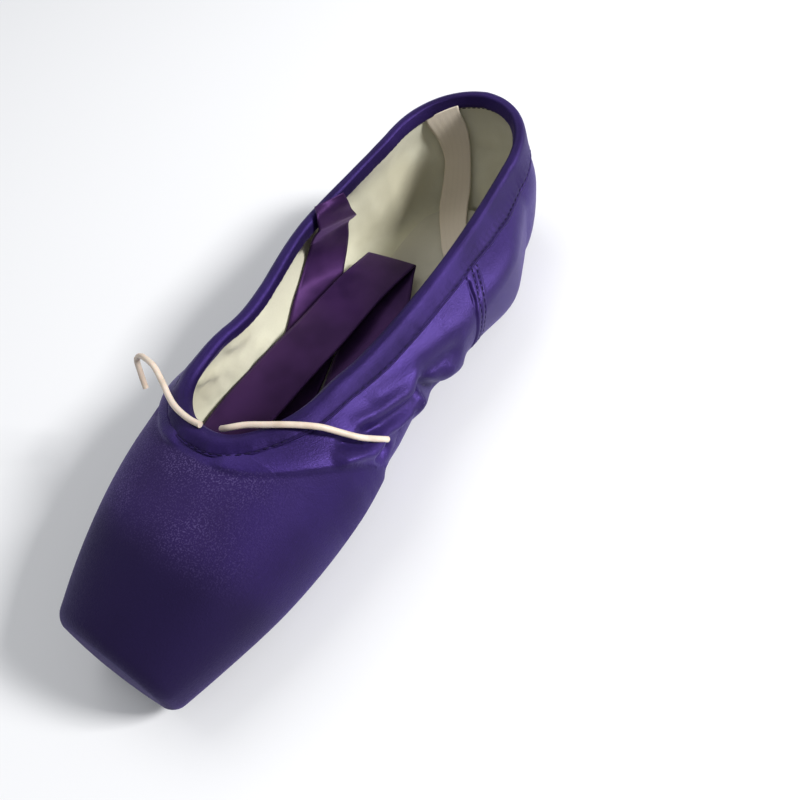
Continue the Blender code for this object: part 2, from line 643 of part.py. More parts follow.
def curve_through(rows, steps):
    """A smooth curve through rows of numbers, with a number of steps between each row and the next."""
    first = [2 * a - b for a, b in zip(rows[0], rows[1])]
    last = [2 * a - b for a, b in zip(rows[-1], rows[-2])]
    rows = [first, *rows, last]
    points = []
    for before, start, stop, after in zip(rows, rows[1:], rows[2:], rows[3:]):
        for k in range(steps):
            t = k / steps
            points.append([0.5 * (2 * b + (c - a) * t + (2 * a - 5 * b + 4 * c - d) * t * t
                                  + (3 * b - a - 3 * c + d) * t ** 3)
                           for a, b, c, d in zip(before, start, stop, after)])
    return points + [list(rows[-2])]


def build_strip(name, strip, material):
    """A ribbon or elastic as one closed flat strip that follows its rows."""
    rows = curve_through([(*row.right_edge, *row.left_edge, row.thickness) for row in strip], STRIP_STEPS)
    edges = [(Vector(row[:3]) * MM, Vector(row[3:6]) * MM) for row in rows]
    middles = [(right + left) / 2 for right, left in edges]
    bm = bmesh.new()
    rings = []
    for k, (right, left) in enumerate(edges):
        along = middles[min(k + 1, len(middles) - 1)] - middles[max(k - 1, 0)]
        offset = along.cross(left - right).normalized() * rows[k][6] * MM / 2
        rings.append([bm.verts.new(point) for point in (right + offset, left + offset,
                                                        left - offset, right - offset)])
    for first, second in zip(rings, rings[1:]):
        quad_strip(bm, first + first[:1], second + second[:1])
    bm.faces.new(rings[0])
    bm.faces.new(rings[-1])
    close_solid(bm)
    return add_object(name, bm, material)


def build_cord(name, route, material):
    """A free end of the drawstring: a round tube along a smooth curve through its route."""
    fine = [Vector(row) * MM for row in curve_through(route, 20)]
    lengths = [0.0]
    for a, b in zip(fine, fine[1:]):
        lengths.append(lengths[-1] + (b - a).length)
    count = max(4, round(lengths[-1] / CORD_SPACING))
    points, k = [], 0
    for step in range(count + 1):
        target = lengths[-1] * step / count
        while k < len(fine) - 2 and lengths[k + 1] < target:
            k += 1
        points.append(fine[k].lerp(fine[k + 1], clamp((target - lengths[k]) / (lengths[k + 1] - lengths[k]))))
    curve = bpy.data.curves.new(name, "CURVE")
    curve.dimensions = "3D"
    curve.bevel_depth = CORD_DIAMETER / 2
    curve.bevel_resolution = 2
    curve.use_fill_caps = True
    spline = curve.splines.new("POLY")
    spline.points.add(len(points) - 1)
    for target, point in zip(spline.points, points):
        target.co = (*point, 1)
    curve.materials.append(material)
    item = bpy.data.objects.new(name, curve)
    bpy.context.scene.collection.objects.link(item)
    return item


def remove_objects():
    for item in list(bpy.data.objects):
        bpy.data.objects.remove(item, do_unlink=True)


def main():
    remove_objects()
    satin = add_material("violet_satin", (0.075, 0.04, 0.18), 0.42)
    leather = add_material("sole_leather", (0.42, 0.30, 0.20), 0.75)
    cotton = add_material("sock_cotton", (0.72, 0.68, 0.56), 0.9)
    ribbon = add_material("plum_ribbon", (0.10, 0.035, 0.13), 0.4)
    elastic = add_material("skin_elastic", (0.42, 0.34, 0.27), 0.85)
    cord = add_material("waxed_cord", (0.80, 0.68, 0.52), 0.6)
    build_outsole(leather)
    build_upper(satin)
    build_insole(cotton)
    build_binding(satin)
    build_strip("ribbon_right", RIBBON_RIGHT, ribbon)
    build_strip("ribbon_left", RIBBON_LEFT, ribbon)
    build_strip("heel_elastic", HEEL_ELASTIC, elastic)
    build_cord("drawstring_left_end", CORD_LEFT, cord)
    build_cord("drawstring_right_end", CORD_RIGHT, cord)


main()
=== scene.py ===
"""The looks of a satin pointe shoe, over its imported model: +Z up, the toe towards -Y, on the floor at Z = 0.

Every piece is cut from one surface, the last that the shoe is made on. Sizes here are in millimetres, as a
shoemaker writes them, and meshes are in metres. A point of the last has a side, a station, which is its
distance from the platform, and a way, which runs 0 to 1 from the edge of the tread up to the widest point
and 1 to 2 from there to the crown or the collar. A pair of numbers for rise() or fall() is a place and the
reach over which it eases.
"""
import logging
import math
from dataclasses import dataclass, field, replace
from enum import Enum
from functools import cached_property, reduce
from types import SimpleNamespace
from typing import Any, Sequence

import bmesh
import bpy
import numpy as np
from mathutils import Matrix
from mathutils.bvhtree import BVHTree

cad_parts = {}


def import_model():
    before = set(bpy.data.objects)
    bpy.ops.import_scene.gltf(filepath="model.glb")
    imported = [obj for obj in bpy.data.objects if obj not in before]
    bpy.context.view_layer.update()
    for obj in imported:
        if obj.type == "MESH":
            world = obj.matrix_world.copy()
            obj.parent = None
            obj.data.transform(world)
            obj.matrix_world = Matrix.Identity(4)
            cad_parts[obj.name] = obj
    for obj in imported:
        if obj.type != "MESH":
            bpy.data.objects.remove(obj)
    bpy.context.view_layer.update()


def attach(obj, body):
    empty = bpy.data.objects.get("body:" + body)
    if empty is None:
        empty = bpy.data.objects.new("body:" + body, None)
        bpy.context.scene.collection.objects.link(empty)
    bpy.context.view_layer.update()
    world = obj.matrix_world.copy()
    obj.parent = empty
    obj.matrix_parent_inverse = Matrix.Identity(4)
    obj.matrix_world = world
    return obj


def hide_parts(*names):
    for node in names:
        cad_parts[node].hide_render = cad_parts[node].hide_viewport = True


MM = 0.001
BODY = "root"
RIPPLE_KNOTS = 512
CLOSE = 0.001
Array = np.ndarray
Colour = tuple[float, float, float]
Point = tuple[float, float, float]
LOG = logging.getLogger("pointe_shoe")


class Side(Enum):
    """The two sides of the shoe, by the sign of X."""

    LEFT = 1
    RIGHT = -1


class Held(Enum):
    """How a ribbon or elastic is held."""

    FOLDED = "folded"
    HUNG = "hung"


def smooth(value: Array) -> Array:
    """Eases 0 to 1."""
    value = np.clip(value, 0, 1)
    return value * value * (3 - 2 * value)


def rise(value: Array, start: float, reach: float) -> Array:
    """Eases from 0 at start up to 1 a reach beyond it."""
    return smooth((value - start) / reach)


def fall(value: Array, end: float, reach: float) -> Array:
    """Eases down to 0 at end, from 1 a reach before it."""
    return smooth((end - value) / reach)


def unit(vectors: Array) -> Array:
    """Vectors of length one."""
    return vectors / np.maximum(np.linalg.norm(vectors, axis=-1, keepdims=True), 1e-12)


def curve_through(rows: Sequence[Sequence[float]], steps: int) -> Array:
    """A smooth curve through rows of numbers.

    Args:
        rows: The rows that it passes through.
        steps: How many steps it takes from each row to the next.

    Returns:
        Its rows, one after another.
    """
    given = np.array(rows, float)
    given = np.vstack([2 * given[0] - given[1], given, 2 * given[-1] - given[-2]])
    t = (np.arange(steps) / steps)[:, None]
    parts = [0.5 * (2 * b + (c - a) * t + (2 * a - 5 * b + 4 * c - d) * t * t
                    + (3 * b - a - 3 * c + d) * t ** 3)
             for a, b, c, d in zip(given, given[1:], given[2:], given[3:])]
    return np.vstack([*parts, given[-2:-1]])


def along_path(points: Array) -> Array:
    """Distances along a row of points."""
    return np.concatenate(([0.0], np.cumsum(np.linalg.norm(np.diff(points, axis=0), axis=-1))))


def even_points(points: Array, count: int) -> Array:
    """A path's points again, evenly spaced.

    Args:
        points: The path.
        count: How many points the new one has.

    Returns:
        Points along the same path, an equal distance apart.
    """
    lengths = along_path(points)
    wanted = np.linspace(0, lengths[-1], count)
    return np.stack([np.interp(wanted, lengths, points[:, k]) for k in range(points.shape[1])], axis=-1)


def mirror(line: Sequence[Sequence[float]], side: int) -> Array:
    """A line of the left side, carried over to either side."""
    return np.array(line, float) * (side, 1, 1)


def hang(name: str, data: bpy.types.ID) -> bpy.types.Object:
    """Puts a new object into the scene.

    Args:
        name: The object's name.
        data: Its mesh, curve, light or camera.

    Returns:
        The object.
    """
    item = bpy.data.objects.new(name, data)
    bpy.context.scene.collection.objects.link(item)
    return item


def placed(axes: Sequence[Array], at: Sequence[float]) -> Matrix:
    """The matrix of three axes at a place, in metres."""
    rows = [[*(float(axis[k]) for axis in axes), float(at[k])] for k in range(3)]
    return Matrix([*rows, [0, 0, 0, 1]])


def ripple(distance: Array, wavelength: float, seed: int) -> Array:
    """A wandering wave between -1 and 1.

    Args:
        distance: Where along the cloth it is read, in millimetres.
        wavelength: How far apart its knots are.
        seed: Which wave it is.

    Returns:
        Its heights.
    """
    knots = np.random.default_rng(seed).uniform(-1, 1, RIPPLE_KNOTS)
    place = np.abs(distance) / wavelength + 3
    low = np.floor(place).astype(int)
    share = smooth(place - low)
    return knots[low % RIPPLE_KNOTS] * (1 - share) + knots[(low + 1) % RIPPLE_KNOTS] * share


@dataclass(frozen=True)
class Wave:
    """A ripple of the cloth: its length, its seed, its height, and what is added to that at the throat."""

    wavelength: float
    seed: int
    height: float
    at_throat: float = 0.0

    def read(self, distance: Array, throat: Array) -> Array:
        """Its heights along the cloth, where throat says how near the throat each place is."""
        return ripple(distance, self.wavelength, self.seed) * (self.height + self.at_throat * throat)


@dataclass(frozen=True)
class Section:
    """One cross section of the last: half widths, heights, the wall's slope at its top, and squareness."""

    station: float
    widest: float
    tread: float
    sole: float
    widest_z: float
    top_left: float
    top_right: float
    collar_left: float
    collar_right: float
    lean: float
    low_fill: float
    high_fill: float
    crown_fill: float


SECTIONS = (
    Section(0, 22.1, 13.5, 11.5, 20.4, 33.7, 33.7, 20.0, 20.0, 90, 0.59, 0.54, 0.41),
    Section(14, 27.5, 17.1, 15.0, 20.9, 38.2, 38.2, 20.0, 20.0, 90, 0.54, 0.61, 0.46),
    Section(38, 33.9, 22.6, 20.0, 21.4, 45.1, 45.1, 20.0, 20.0, 90, 0.62, 0.64, 0.51),
    Section(70, 38.5, 24.0, 21.5, 22.9, 51.2, 51.2, 19.0, 24.4, 60, 0.58, 0.60, 0.39),
    Section(105, 36.6, 21.7, 17.0, 25.6, 44.9, 45.5, 23.4, 23.5, 42, 0.54, 0.51, 0.44),
    Section(145, 39.8, 19.5, 12.5, 27.0, 44.2, 47.4, 26.4, 28.2, 29, 0.64, 0.49, 0.35),
    Section(176, 39.0, 20.7, 13.8, 27.3, 43.6, 47.5, 25.7, 27.4, 15.1, 0.97, 0.50, 0.40),
    Section(190, 34.3, 20.8, 14.5, 27.4, 44.0, 47.6, 25.0, 26.6, 10, 1.00, 0.51, 0.42),
    Section(235, 19.3, 16.0, 13.5, 28.2, 49.7, 49.7, 23.0, 23.0, 4, 0.13, 0.51, 0.43),
)


@dataclass(frozen=True)
class Last:
    """The straight form that the shoe is made on."""

    length: float = 235.0
    centre_y: float = 115.7
    sole_top: float = 2.5
    rim_radius: float = 3.4
    platform_lean: float = math.radians(8.5)
    platform_lean_reach: float = 45.0
    platform_middle: float = 20.0
    forefoot_flat: tuple[float, float] = (34.0, 90.0)
    heel_flat_start: float = 182.0
    toe_spring: float = 2.3
    arch_rise: float = 3.8
    throat: float = 62.2
    throat_reach: float = 34.0
    throat_blend: float = 38.0
    blend_lead: float = 4.0
    heel_radius: float = 35.9
    heel_squareness: float = 2.16
    back_widest: float = 32.0
    back_tread: float = 18.8
    back_collar: float = 32.0
    box_wall: float = 3.4
    quarter_wall: float = 1.8
    slant_station: float = 166.0
    seam_slant: float = 20.0
    seam_spread: float = 30.0
    opening_start: float = 27.0
    opening_reach: float = 14.0
    lip: float = 6.0
    wall_change: tuple[float, float] = (50.0, 35.0)
    tread_rounding: float = 0.6
    halvings: int = 26
    walk_steps: int = 4

    @property
    def throat_end(self) -> float:
        """Station where the collar runs straight again."""
        return self.throat + self.throat_reach

    def column(self, name: str, station: Array) -> Array:
        """Reads one column of the sections at any station, along a smooth curve.

        Args:
            name: The column.
            station: Where along the shoe, as the distance from the platform.

        Returns:
            The column's value at each station.
        """
        stations = np.array([row.station for row in SECTIONS], float)
        values = np.array([getattr(row, name) for row in SECTIONS], float)
        step = np.diff(stations)
        slopes = np.diff(values) / step
        inside = (slopes[:-1] * step[1:] + slopes[1:] * step[:-1]) / (step[:-1] + step[1:])
        tangents = np.concatenate((slopes[:1], inside, slopes[-1:]))
        place = np.clip(station, stations[0], stations[-1])
        i = np.clip(np.searchsorted(stations, place, "right") - 1, 0, len(stations) - 2)
        t = (place - stations[i]) / step[i]
        return ((2 * t ** 3 - 3 * t ** 2 + 1) * values[i] + (t ** 3 - 2 * t ** 2 + t) * step[i] * tangents[i]
                + (3 * t ** 2 - 2 * t ** 3) * values[i + 1] + (t ** 3 - t ** 2) * step[i] * tangents[i + 1])

    def underside(self, station: Array) -> Array:
        """Height of the upper's underside: toe spring, forefoot, arch and heel.

        Args:
            station: Where along the shoe, as the distance from the platform.

        Returns:
            The height above the floor at each station.
        """
        spring = self.toe_spring * np.clip(1 - station / self.forefoot_flat[0], 0, 1) ** 2
        start = self.forefoot_flat[1]
        along = np.clip((station - start) / (self.heel_flat_start - start), 0, 1)
        return self.sole_top + spring + self.arch_rise * np.sin(np.pi * along) ** 2

    def heel_turn(self, station: Array) -> Array:
        """Angle that a section has turned round the heel's centre."""
        return np.clip((station - self.length + self.heel_radius) / self.heel_radius, 0, 1) * np.pi / 2

    def spread(self, name: str, station: Array, back: float) -> Array:
        """A half width, which swings to its size behind the heel along a rounded square.

        Args:
            name: The column that holds the half width.
            station: Where along the shoe, as the distance from the platform.
            back: The size that it swings to behind the heel.

        Returns:
            The half width at each station.
        """
        turn = self.heel_turn(station)
        side = self.column(name, np.minimum(station, self.length - self.heel_radius))
        n = self.heel_squareness
        cosine, sine = np.maximum(np.cos(turn), 0), np.maximum(np.sin(turn), 0)
        return ((cosine / side) ** n + (sine / back) ** n) ** (-1 / n)

    def collar(self, side: int, station: Array) -> Array:
        """Half width that the quarters have at their top."""
        return self.spread("collar_left" if side > 0 else "collar_right", station, self.back_collar)

    def profile(self, side: int, station: Array) -> SimpleNamespace:
        """The two curves of one side of each section, as distances out and heights.

        Args:
            side: The side of the shoe, 1 or -1, which is the sign of X.
            station: Where along the shoe, as the distance from the platform.

        Returns:
            The ends and handles of the curves at each station, by name.
        """
        rim = np.clip(station / self.rim_radius, 0, 1)
        inset = self.rim_radius * (1 - np.sqrt(1 - (1 - rim) ** 2))
        tops = self.column("top_left", station), self.column("top_right", station)
        apart = rise(station, self.throat, self.throat_blend) / 2
        part = smooth((station - self.throat + self.blend_lead) / self.throat_blend)
        p = SimpleNamespace(station=station, side=side)
        p.widest = self.spread("widest", station, self.back_widest) - inset
        p.tread = self.spread("tread", station, self.back_tread) - inset * self.tread_rounding
        p.bottom = self.underside(station) + inset
        p.widest_z = self.column("widest_z", station)
        p.top = (tops[0] + tops[1]) / 2 + (tops[0] - tops[1]) * apart * side - inset
        p.end = self.collar(side, station) * part
        lean = np.radians(90 + part * (self.column("lean", station) - 90))
        reach = self.column("crown_fill", station) * np.hypot(p.widest - p.end, p.top - p.widest_z)
        p.handle = p.end + reach * np.sin(lean), p.top - reach * np.cos(lean)
        p.low_fill, p.high_fill = self.column("low_fill", station), self.column("high_fill", station)
        return p

    @staticmethod
    def bezier(a: Array, b: Array, c: Array, d: Array, t: Array) -> Array:
        """A point of a cubic curve."""
        s = 1 - t
        return s ** 3 * a + 3 * s * s * t * b + 3 * s * t * t * c + t ** 3 * d

    def high(self, p: SimpleNamespace, t: Array) -> tuple[Array, Array]:
        """The curve from the widest point over to the crown."""
        return (self.bezier(p.widest, p.widest, p.handle[0], p.end, t),
                self.bezier(p.widest_z, p.widest_z + p.high_fill * (p.top - p.widest_z), p.handle[1],
                            p.top, t))

    def low(self, p: SimpleNamespace, t: Array) -> tuple[Array, Array]:
        """The curve from the tread up to the widest point."""
        rise = p.widest_z - p.bottom
        return (self.bezier(p.tread, p.tread + p.low_fill * (p.widest - p.tread), p.widest, p.widest, t),
                self.bezier(p.bottom, p.bottom, p.widest_z - p.low_fill * rise, p.widest_z, t))

    def throat_stations(self, count: int) -> Array:
        """Stations from the throat to the straight part of the collar, even along the throat's curve."""
        opened = np.sin(np.linspace(0, np.pi / 2, count))
        return self.throat + self.throat_reach * (1 - (1 - opened ** 2) ** (1 / 3))

    def cut(self, side: int, station: Array) -> Array:
        """Where along the upper curve the collar cuts it, 1 where it doesn't.

        Args:
            side: The side of the shoe, 1 or -1, which is the sign of X.
            station: Where along the shoe, as the distance from the platform.

        Returns:
            The cut at each station, from 0 at the widest point to 1 at the crown.
        """
        p = self.profile(side, station)
        along = np.clip((station - self.throat) / self.throat_reach, 0, 1)
        target = self.collar(side, station) * np.sqrt(1 - (1 - along) ** 3)
        low, high = np.zeros_like(p.top), np.ones_like(p.top)
        for _ in range(self.halvings):
            middle = (low + high) / 2
            wide = self.high(p, middle)[0] > target
            low, high = np.where(wide, middle, low), np.where(wide, high, middle)
        closed = (station <= self.throat) | (target <= p.end)
        return np.where(closed, 1.0, (low + high) / 2)

    def place(self, p: SimpleNamespace, out: Array, up: Array) -> Array:
        """Puts points of sections in space.

        Args:
            p: The profile of the sections.
            out: How far the points lie from the middle, turned to the back round the heel.
            up: Their heights.

        Returns:
            The points, in millimetres.
        """
        turn = self.heel_turn(p.station)
        y = np.minimum(p.station, self.length - self.heel_radius) - self.centre_y + out * np.sin(turn)
        near = np.clip(1 - p.station / self.platform_lean_reach, 0, 1) ** 2
        y = y + near * math.tan(self.platform_lean) * (up - self.platform_middle)
        return np.stack([p.side * out * np.cos(turn), y, up], axis=-1)

    def point(self, side: int, station: Array, way: Array) -> Array:
        """Points of the last.

        Args:
            side: The side of the shoe, 1 or -1, which is the sign of X.
            station: Where along the shoe, as the distance from the platform.
            way: How far up the section: 1 at the widest point, 2 at the crown.

        Returns:
            The points, in millimetres.
        """
        p = self.profile(side, station)
        low, high = self.low(p, np.clip(way, 0, 1)), self.high(p, np.clip(way - 1, 0, 1))
        return self.place(p, np.where(way <= 1, low[0], high[0]), np.where(way <= 1, low[1], high[1]))

    def normal(self, side: int, station: Array, way: Array) -> Array:
        """The outward normals of the last.

        Args:
            side: The side of the shoe, 1 or -1, which is the sign of X.
            station: Where along the shoe, as the distance from the platform.
            way: How far up the section: 1 at the widest point, 2 at the crown.

        Returns:
            A unit normal for each point.
        """
        du, dw = 0.4, 0.01
        place = np.clip(station, self.rim_radius, self.length)
        along = (self.point(side, np.minimum(place + du, self.length), way)
                 - self.point(side, place - du, way))
        around = (self.point(side, place, np.minimum(way + dw, 2))
                  - self.point(side, place, np.maximum(way - dw, 0)))
        normal = np.cross(along, around) * side
        middle = (self.heel_turn(place) > np.pi / 2 - CLOSE) | ((way > 2 - CLOSE) & (place <= self.throat))
        normal[..., 0] = np.where(middle, 0, normal[..., 0])
        return unit(normal)

    def wall(self, station: Array) -> Array:
        """Thickness of the upper: stiff at the box, satin and cotton behind it."""
        return self.box_wall + (self.quarter_wall - self.box_wall) * rise(station, *self.wall_change)

    def slanted(self, station: Array, way: Array) -> Array:
        """Moves the sections near the side seam forward low down, so that they follow its slant."""
        near = np.exp(-((station - self.slant_station) / self.seam_spread) ** 2)
        return station - self.seam_slant * (1 - way / 2) * near

    def hole(self, station: Array) -> Array:
        """Half width of the hole under the upper, which the sole closes."""
        along = np.clip((station - self.opening_start) / self.opening_reach, 0, 1)
        return (self.spread("tread", station, self.back_tread) - self.lip) * np.sqrt(1 - (1 - along) ** 2)

    def collar_frame(self, side: int, station: Array) -> tuple[Array, Array, Array]:
        """The collar's way on the last, and the directions out of the wall and down it.

        Args:
            side: The side of the shoe, 1 or -1, which is the sign of X.
            station: Where along the shoe, as the distance from the platform.

        Returns:
            The way, the unit direction out of the wall and the unit direction down it, for each station.
        """
        way = 1 + self.cut(side, station)
        du = 0.2
        ends = [self.point(side, near, 1 + self.cut(side, near)) for near in
                (np.maximum(self.throat + 0.01, station - du), np.minimum(self.length, station + du))]
        along = unit(ends[1] - ends[0])
        along[station < self.throat + 0.1] = (side, 0, 0)
        along[station >= self.length] = (-side, 0, 0)
        out = self.normal(side, station, way)
        return way, out, unit(np.cross(along, out) * side)

    def walk_down(self, side: int, station: Array, distance: Array) -> tuple[Array, Array, Array]:
        """Walks over the last, square to the collar.

        Args:
            side: Which side, 1 or -1.
            station: Where along the collar each walk starts.
            distance: How far each goes; less than nothing leads up, off the wall.

        Returns:
            The points, the normals and the stations there.
        """
        way, out, down = self.collar_frame(side, station)
        distance = distance[:, None]
        if distance.max() <= 0:
            return self.point(side, station, way) + down * distance, out, station
        du, dw = 0.3, 0.01
        for _ in range(self.walk_steps):
            u0, u1 = np.maximum(station - du, self.rim_radius), np.minimum(station + du, self.length)
            w0, w1 = np.maximum(way - dw, 0), np.minimum(way + dw, 2)
            along = (self.point(side, u1, way) - self.point(side, u0, way)) / (u1 - u0)[:, None]
            around = (self.point(side, station, w1) - self.point(side, station, w0)) / (w1 - w0)[:, None]
            normal = unit(np.cross(along, around))
            step = unit(down - normal * (down * normal).sum(-1, keepdims=True)) * distance / self.walk_steps
            aa, ab, bb = (along * along).sum(-1), (along * around).sum(-1), (around * around).sum(-1)
            pa, pb = (step * along).sum(-1), (step * around).sum(-1)
            det = aa * bb - ab * ab
            station = np.clip(station + (pa * bb - pb * ab) / det, self.rim_radius, self.length)
            way = np.clip(way + (pb * aa - pa * ab) / det, 0, 2)
        return self.point(side, station, way), self.normal(side, station, way), station


LAST = Last()


class Recipe:
    """A material in the making, one node at a time."""

    def __init__(self, name: str) -> None:
        """Starts a material with its shader.

        Args:
            name: The material's name.
        """
        self.material = bpy.data.materials.new(name)
        self.material.use_nodes = True
        self.tree = self.material.node_tree
        self.shader = self.tree.nodes["Principled BSDF"]

    def feed(self, socket: bpy.types.NodeSocket, value: Any) -> None:
        """Links a socket, or sets it where the value is a constant."""
        if isinstance(value, bpy.types.Node):
            value = value.outputs[0]
        if isinstance(value, bpy.types.NodeSocket):
            self.tree.links.new(value, socket)
        elif isinstance(value, tuple) and len(value) == 3 and socket.type == "RGBA":
            socket.default_value = (*value, 1)
        else:
            socket.default_value = value

    def add(self, kind: str, settings: dict[str, Any] | None = None, **inputs: Any) -> bpy.types.Node:
        """Adds a node.

        Args:
            kind: Its type, without the ShaderNode in front.
            settings: Its own properties.
            **inputs: Its sockets by name, with _ for a space: a node, a socket or a constant each.

        Returns:
            The node.
        """
        node = self.tree.nodes.new("ShaderNode" + kind)
        for name, value in (settings or {}).items():
            setattr(node, name, value)
        for name, value in inputs.items():
            self.feed(node.inputs[name.replace("_", " ")], value)
        return node

    @cached_property
    def place(self) -> bpy.types.NodeSocket:
        """The place on the shoe, in metres."""
        return self.add("TexCoord").outputs["Object"]

    @cached_property
    def cloth(self) -> bpy.types.Node:
        """The place on the cloth."""
        return self.add("UVMap")

    def noise(self, scale: float, detail: float, roughness: float = 0.5,
              vector: Any = None) -> bpy.types.Node:
        """Adds noise over the shoe, or over a vector."""
        return self.add("TexNoise", Vector=self.place if vector is None else vector, Scale=scale,
                        Detail=detail,
                        Roughness=roughness)

    def bump(self, strength: float, distance: float, height: Any) -> bpy.types.Node:
        """Adds a fine relief, with its distance in metres."""
        return self.add("Bump", {}, Strength=strength, Distance=distance, Height=height)

    def times(self, *values: Any) -> Any:
        """Multiplies numbers."""
        return reduce(lambda a, b: self.math("MULTIPLY", a, b), values)

    def tint(self, base: Any, colour: Colour, *shares: Any) -> bpy.types.NodeSocket:
        """Mixes a colour into another by the product of some shares."""
        return self.mix(self.times(*shares), base, colour)

    def math(self, operation: str, a: Any, b: Any = 0.0) -> bpy.types.Node:
        """Adds an operation on one or two numbers.

        Args:
            operation: What the node does with them.
            a: The first number, or where it comes from.
            b: The second number, or where it comes from.

        Returns:
            The node.
        """
        node = self.add("Math", {"operation": operation})
        self.feed(node.inputs[0], a)
        self.feed(node.inputs[1], b)
        return node

    def mix(self, factor: Any, a: Any, b: Any) -> bpy.types.NodeSocket:
        """Mixes two colours.

        Args:
            factor: The share of the second colour, or where it comes from.
            a: The first colour.
            b: The second colour.

        Returns:
            The socket of the mixed colour.
        """
        node = self.add("Mix", {"data_type": "RGBA"})
        for index, value in ((0, factor), (6, a), (7, b)):
            self.feed(node.inputs[index], value)
        return node.outputs[2]

    def remap(self, value: Any, low: float, high: float, to_low: float = 0.0,
              to_high: float = 1.0) -> bpy.types.Node:
        """Stretches a number from one range to another."""
        return self.add("MapRange", {"interpolation_type": "SMOOTHSTEP"}, Value=value, From_Min=low,
                        From_Max=high,
                        To_Min=to_low, To_Max=to_high)

    def finish(self, **inputs: Any) -> bpy.types.Material:
        """Sets the shader's sockets and hands over the material."""
        for name, value in inputs.items():
            self.feed(self.shader.inputs[name.replace("_", " ")], value)
        return self.material


@dataclass(frozen=True)
class Satin:
    """Violet satin: a dark base, a violet gloss that follows the cloth, and a fine weave.

    The attribute stiffness is 1 where the satin is glued over the box: there it is flatter, painted shade
    darkens it most towards the platform, painted glints glitter on the vamp, and a painted patch of light lies
    high on the vamp.
    """

    name: str
    deep: Colour = (0.020, 0.012, 0.060)
    lit: Colour = (0.032, 0.018, 0.108)
    gloss: Colour = (0.38, 0.23, 1.0)
    rub_and_glint: Colour = (0.13, 0.095, 0.25)
    vamp_painted_light: Colour = (0.052, 0.031, 0.112)
    box_painted_shade: Colour = (0.011, 0.008, 0.026)
    roughness: float = 0.39
    stiff_roughness: float = 0.60
    vamp: tuple[float, float] = (-0.092, -0.074)
    painted_light_side: tuple[float, float] = (0.034, 0.008)
    painted_light_height: tuple[float, float] = (0.012, 0.030)

    def make(self) -> bpy.types.Material:
        """Builds the material.

        Returns:
            The material.
        """
        r = Recipe(self.name)
        stiff = r.add("Attribute", {"attribute_name": "stiffness"}).outputs["Fac"]
        axes = r.add("SeparateXYZ", {}, Vector=r.place).outputs
        vamp = r.remap(axes["Y"], *self.vamp)
        # painted light: a patch high on the vamp, on the side of smaller X; it also bounds the painted glints
        painted_light_patch = r.times(vamp, r.remap(axes["X"], *self.painted_light_side), r.remap(axes["Z"], *self.painted_light_height))
        slubs = r.noise(1.0, 2.0, vector=r.add("Mapping", {}, Vector=r.cloth, Scale=(18.0, 420.0, 1.0)))
        grain = r.noise(1500.0, 3.0, 0.75)
        patch = r.remap(r.noise(60.0, 2.0), 0.3, 0.6, 0.25, 1.0)
        glint = r.times(r.remap(r.noise(2300.0, 1.0), 0.52, 0.65), patch, r.times(stiff, painted_light_patch))
        base = r.mix(r.remap(r.noise(38.0, 3.0), 0.3, 0.7), self.deep, self.lit)
        base = r.tint(base, self.lit, r.remap(slubs, 0.35, 0.75), 0.3)
        base = r.tint(base, tuple(c * 1.7 for c in self.lit), r.remap(grain, 0.5, 0.75), 0.3)
        # painted shade: darkens the satin over the box, most towards the platform
        base = r.tint(base, self.box_painted_shade, stiff, r.remap(vamp, 0.0, 1.0, 0.85, 0.35))
        # painted light: lightens the box's satin in that patch high on the vamp
        base = r.tint(base, self.vamp_painted_light, stiff, painted_light_patch, 0.3)
        # painted glints: pale flecks on the box's satin over the vamp
        base = r.tint(base, self.rub_and_glint, glint, 0.6)
        rough = r.remap(stiff, 0.0, 1.0, self.roughness, self.stiff_roughness)
        rough = r.math("ADD", rough, r.remap(grain, 0.3, 0.7, -0.05, 0.06))
        weave = r.math("ADD", r.times(slubs, 0.6), r.times(grain, 1.2))
        return r.finish(Base_Color=base, Roughness=rough, Normal=r.bump(0.5, 0.0002, weave), Metallic=0.25,
                        Specular_IOR_Level=r.remap(stiff, 0.0, 1.0, 0.5, 0.3), Specular_Tint=(*self.gloss, 1),
                        Sheen_Weight=0.10, Sheen_Roughness=0.38, Sheen_Tint=(*self.gloss, 1), Anisotropic=0.4,
                        Tangent=r.add("Tangent", {"direction_type": "UV_MAP"}))


@dataclass(frozen=True)
class Cotton:
    """Cream cotton: lining and sock, with a plain weave and soft stains of use."""

    name: str
    colour: Colour = (0.71, 0.69, 0.54)
    shade: Colour = (0.56, 0.53, 0.39)
    threads: float = 1800.0

    def make(self) -> bpy.types.Material:
        """Builds the material.

        Returns:
            The material.
        """
        r = Recipe(self.name)
        warp, weft = (r.add("TexWave", {"bands_direction": axis}, Vector=r.cloth, Scale=self.threads / 10,
                            Distortion=0.6, Detail=1.0) for axis in "XY")
        fuzz = r.noise(1500.0, 3.0)
        base = r.mix(r.remap(r.noise(30.0, 4.0), 0.35, 0.7), self.colour, self.shade)
        base = r.tint(base, self.shade, r.remap(fuzz, 0.4, 0.7), 0.12)
        height = r.math("ADD", r.math("MAXIMUM", warp, weft), fuzz)
        return r.finish(Base_Color=base, Roughness=0.9, Normal=r.bump(0.35, 0.0002, height), Sheen_Weight=0.2,
                        Sheen_Roughness=0.5, Specular_IOR_Level=0.25)


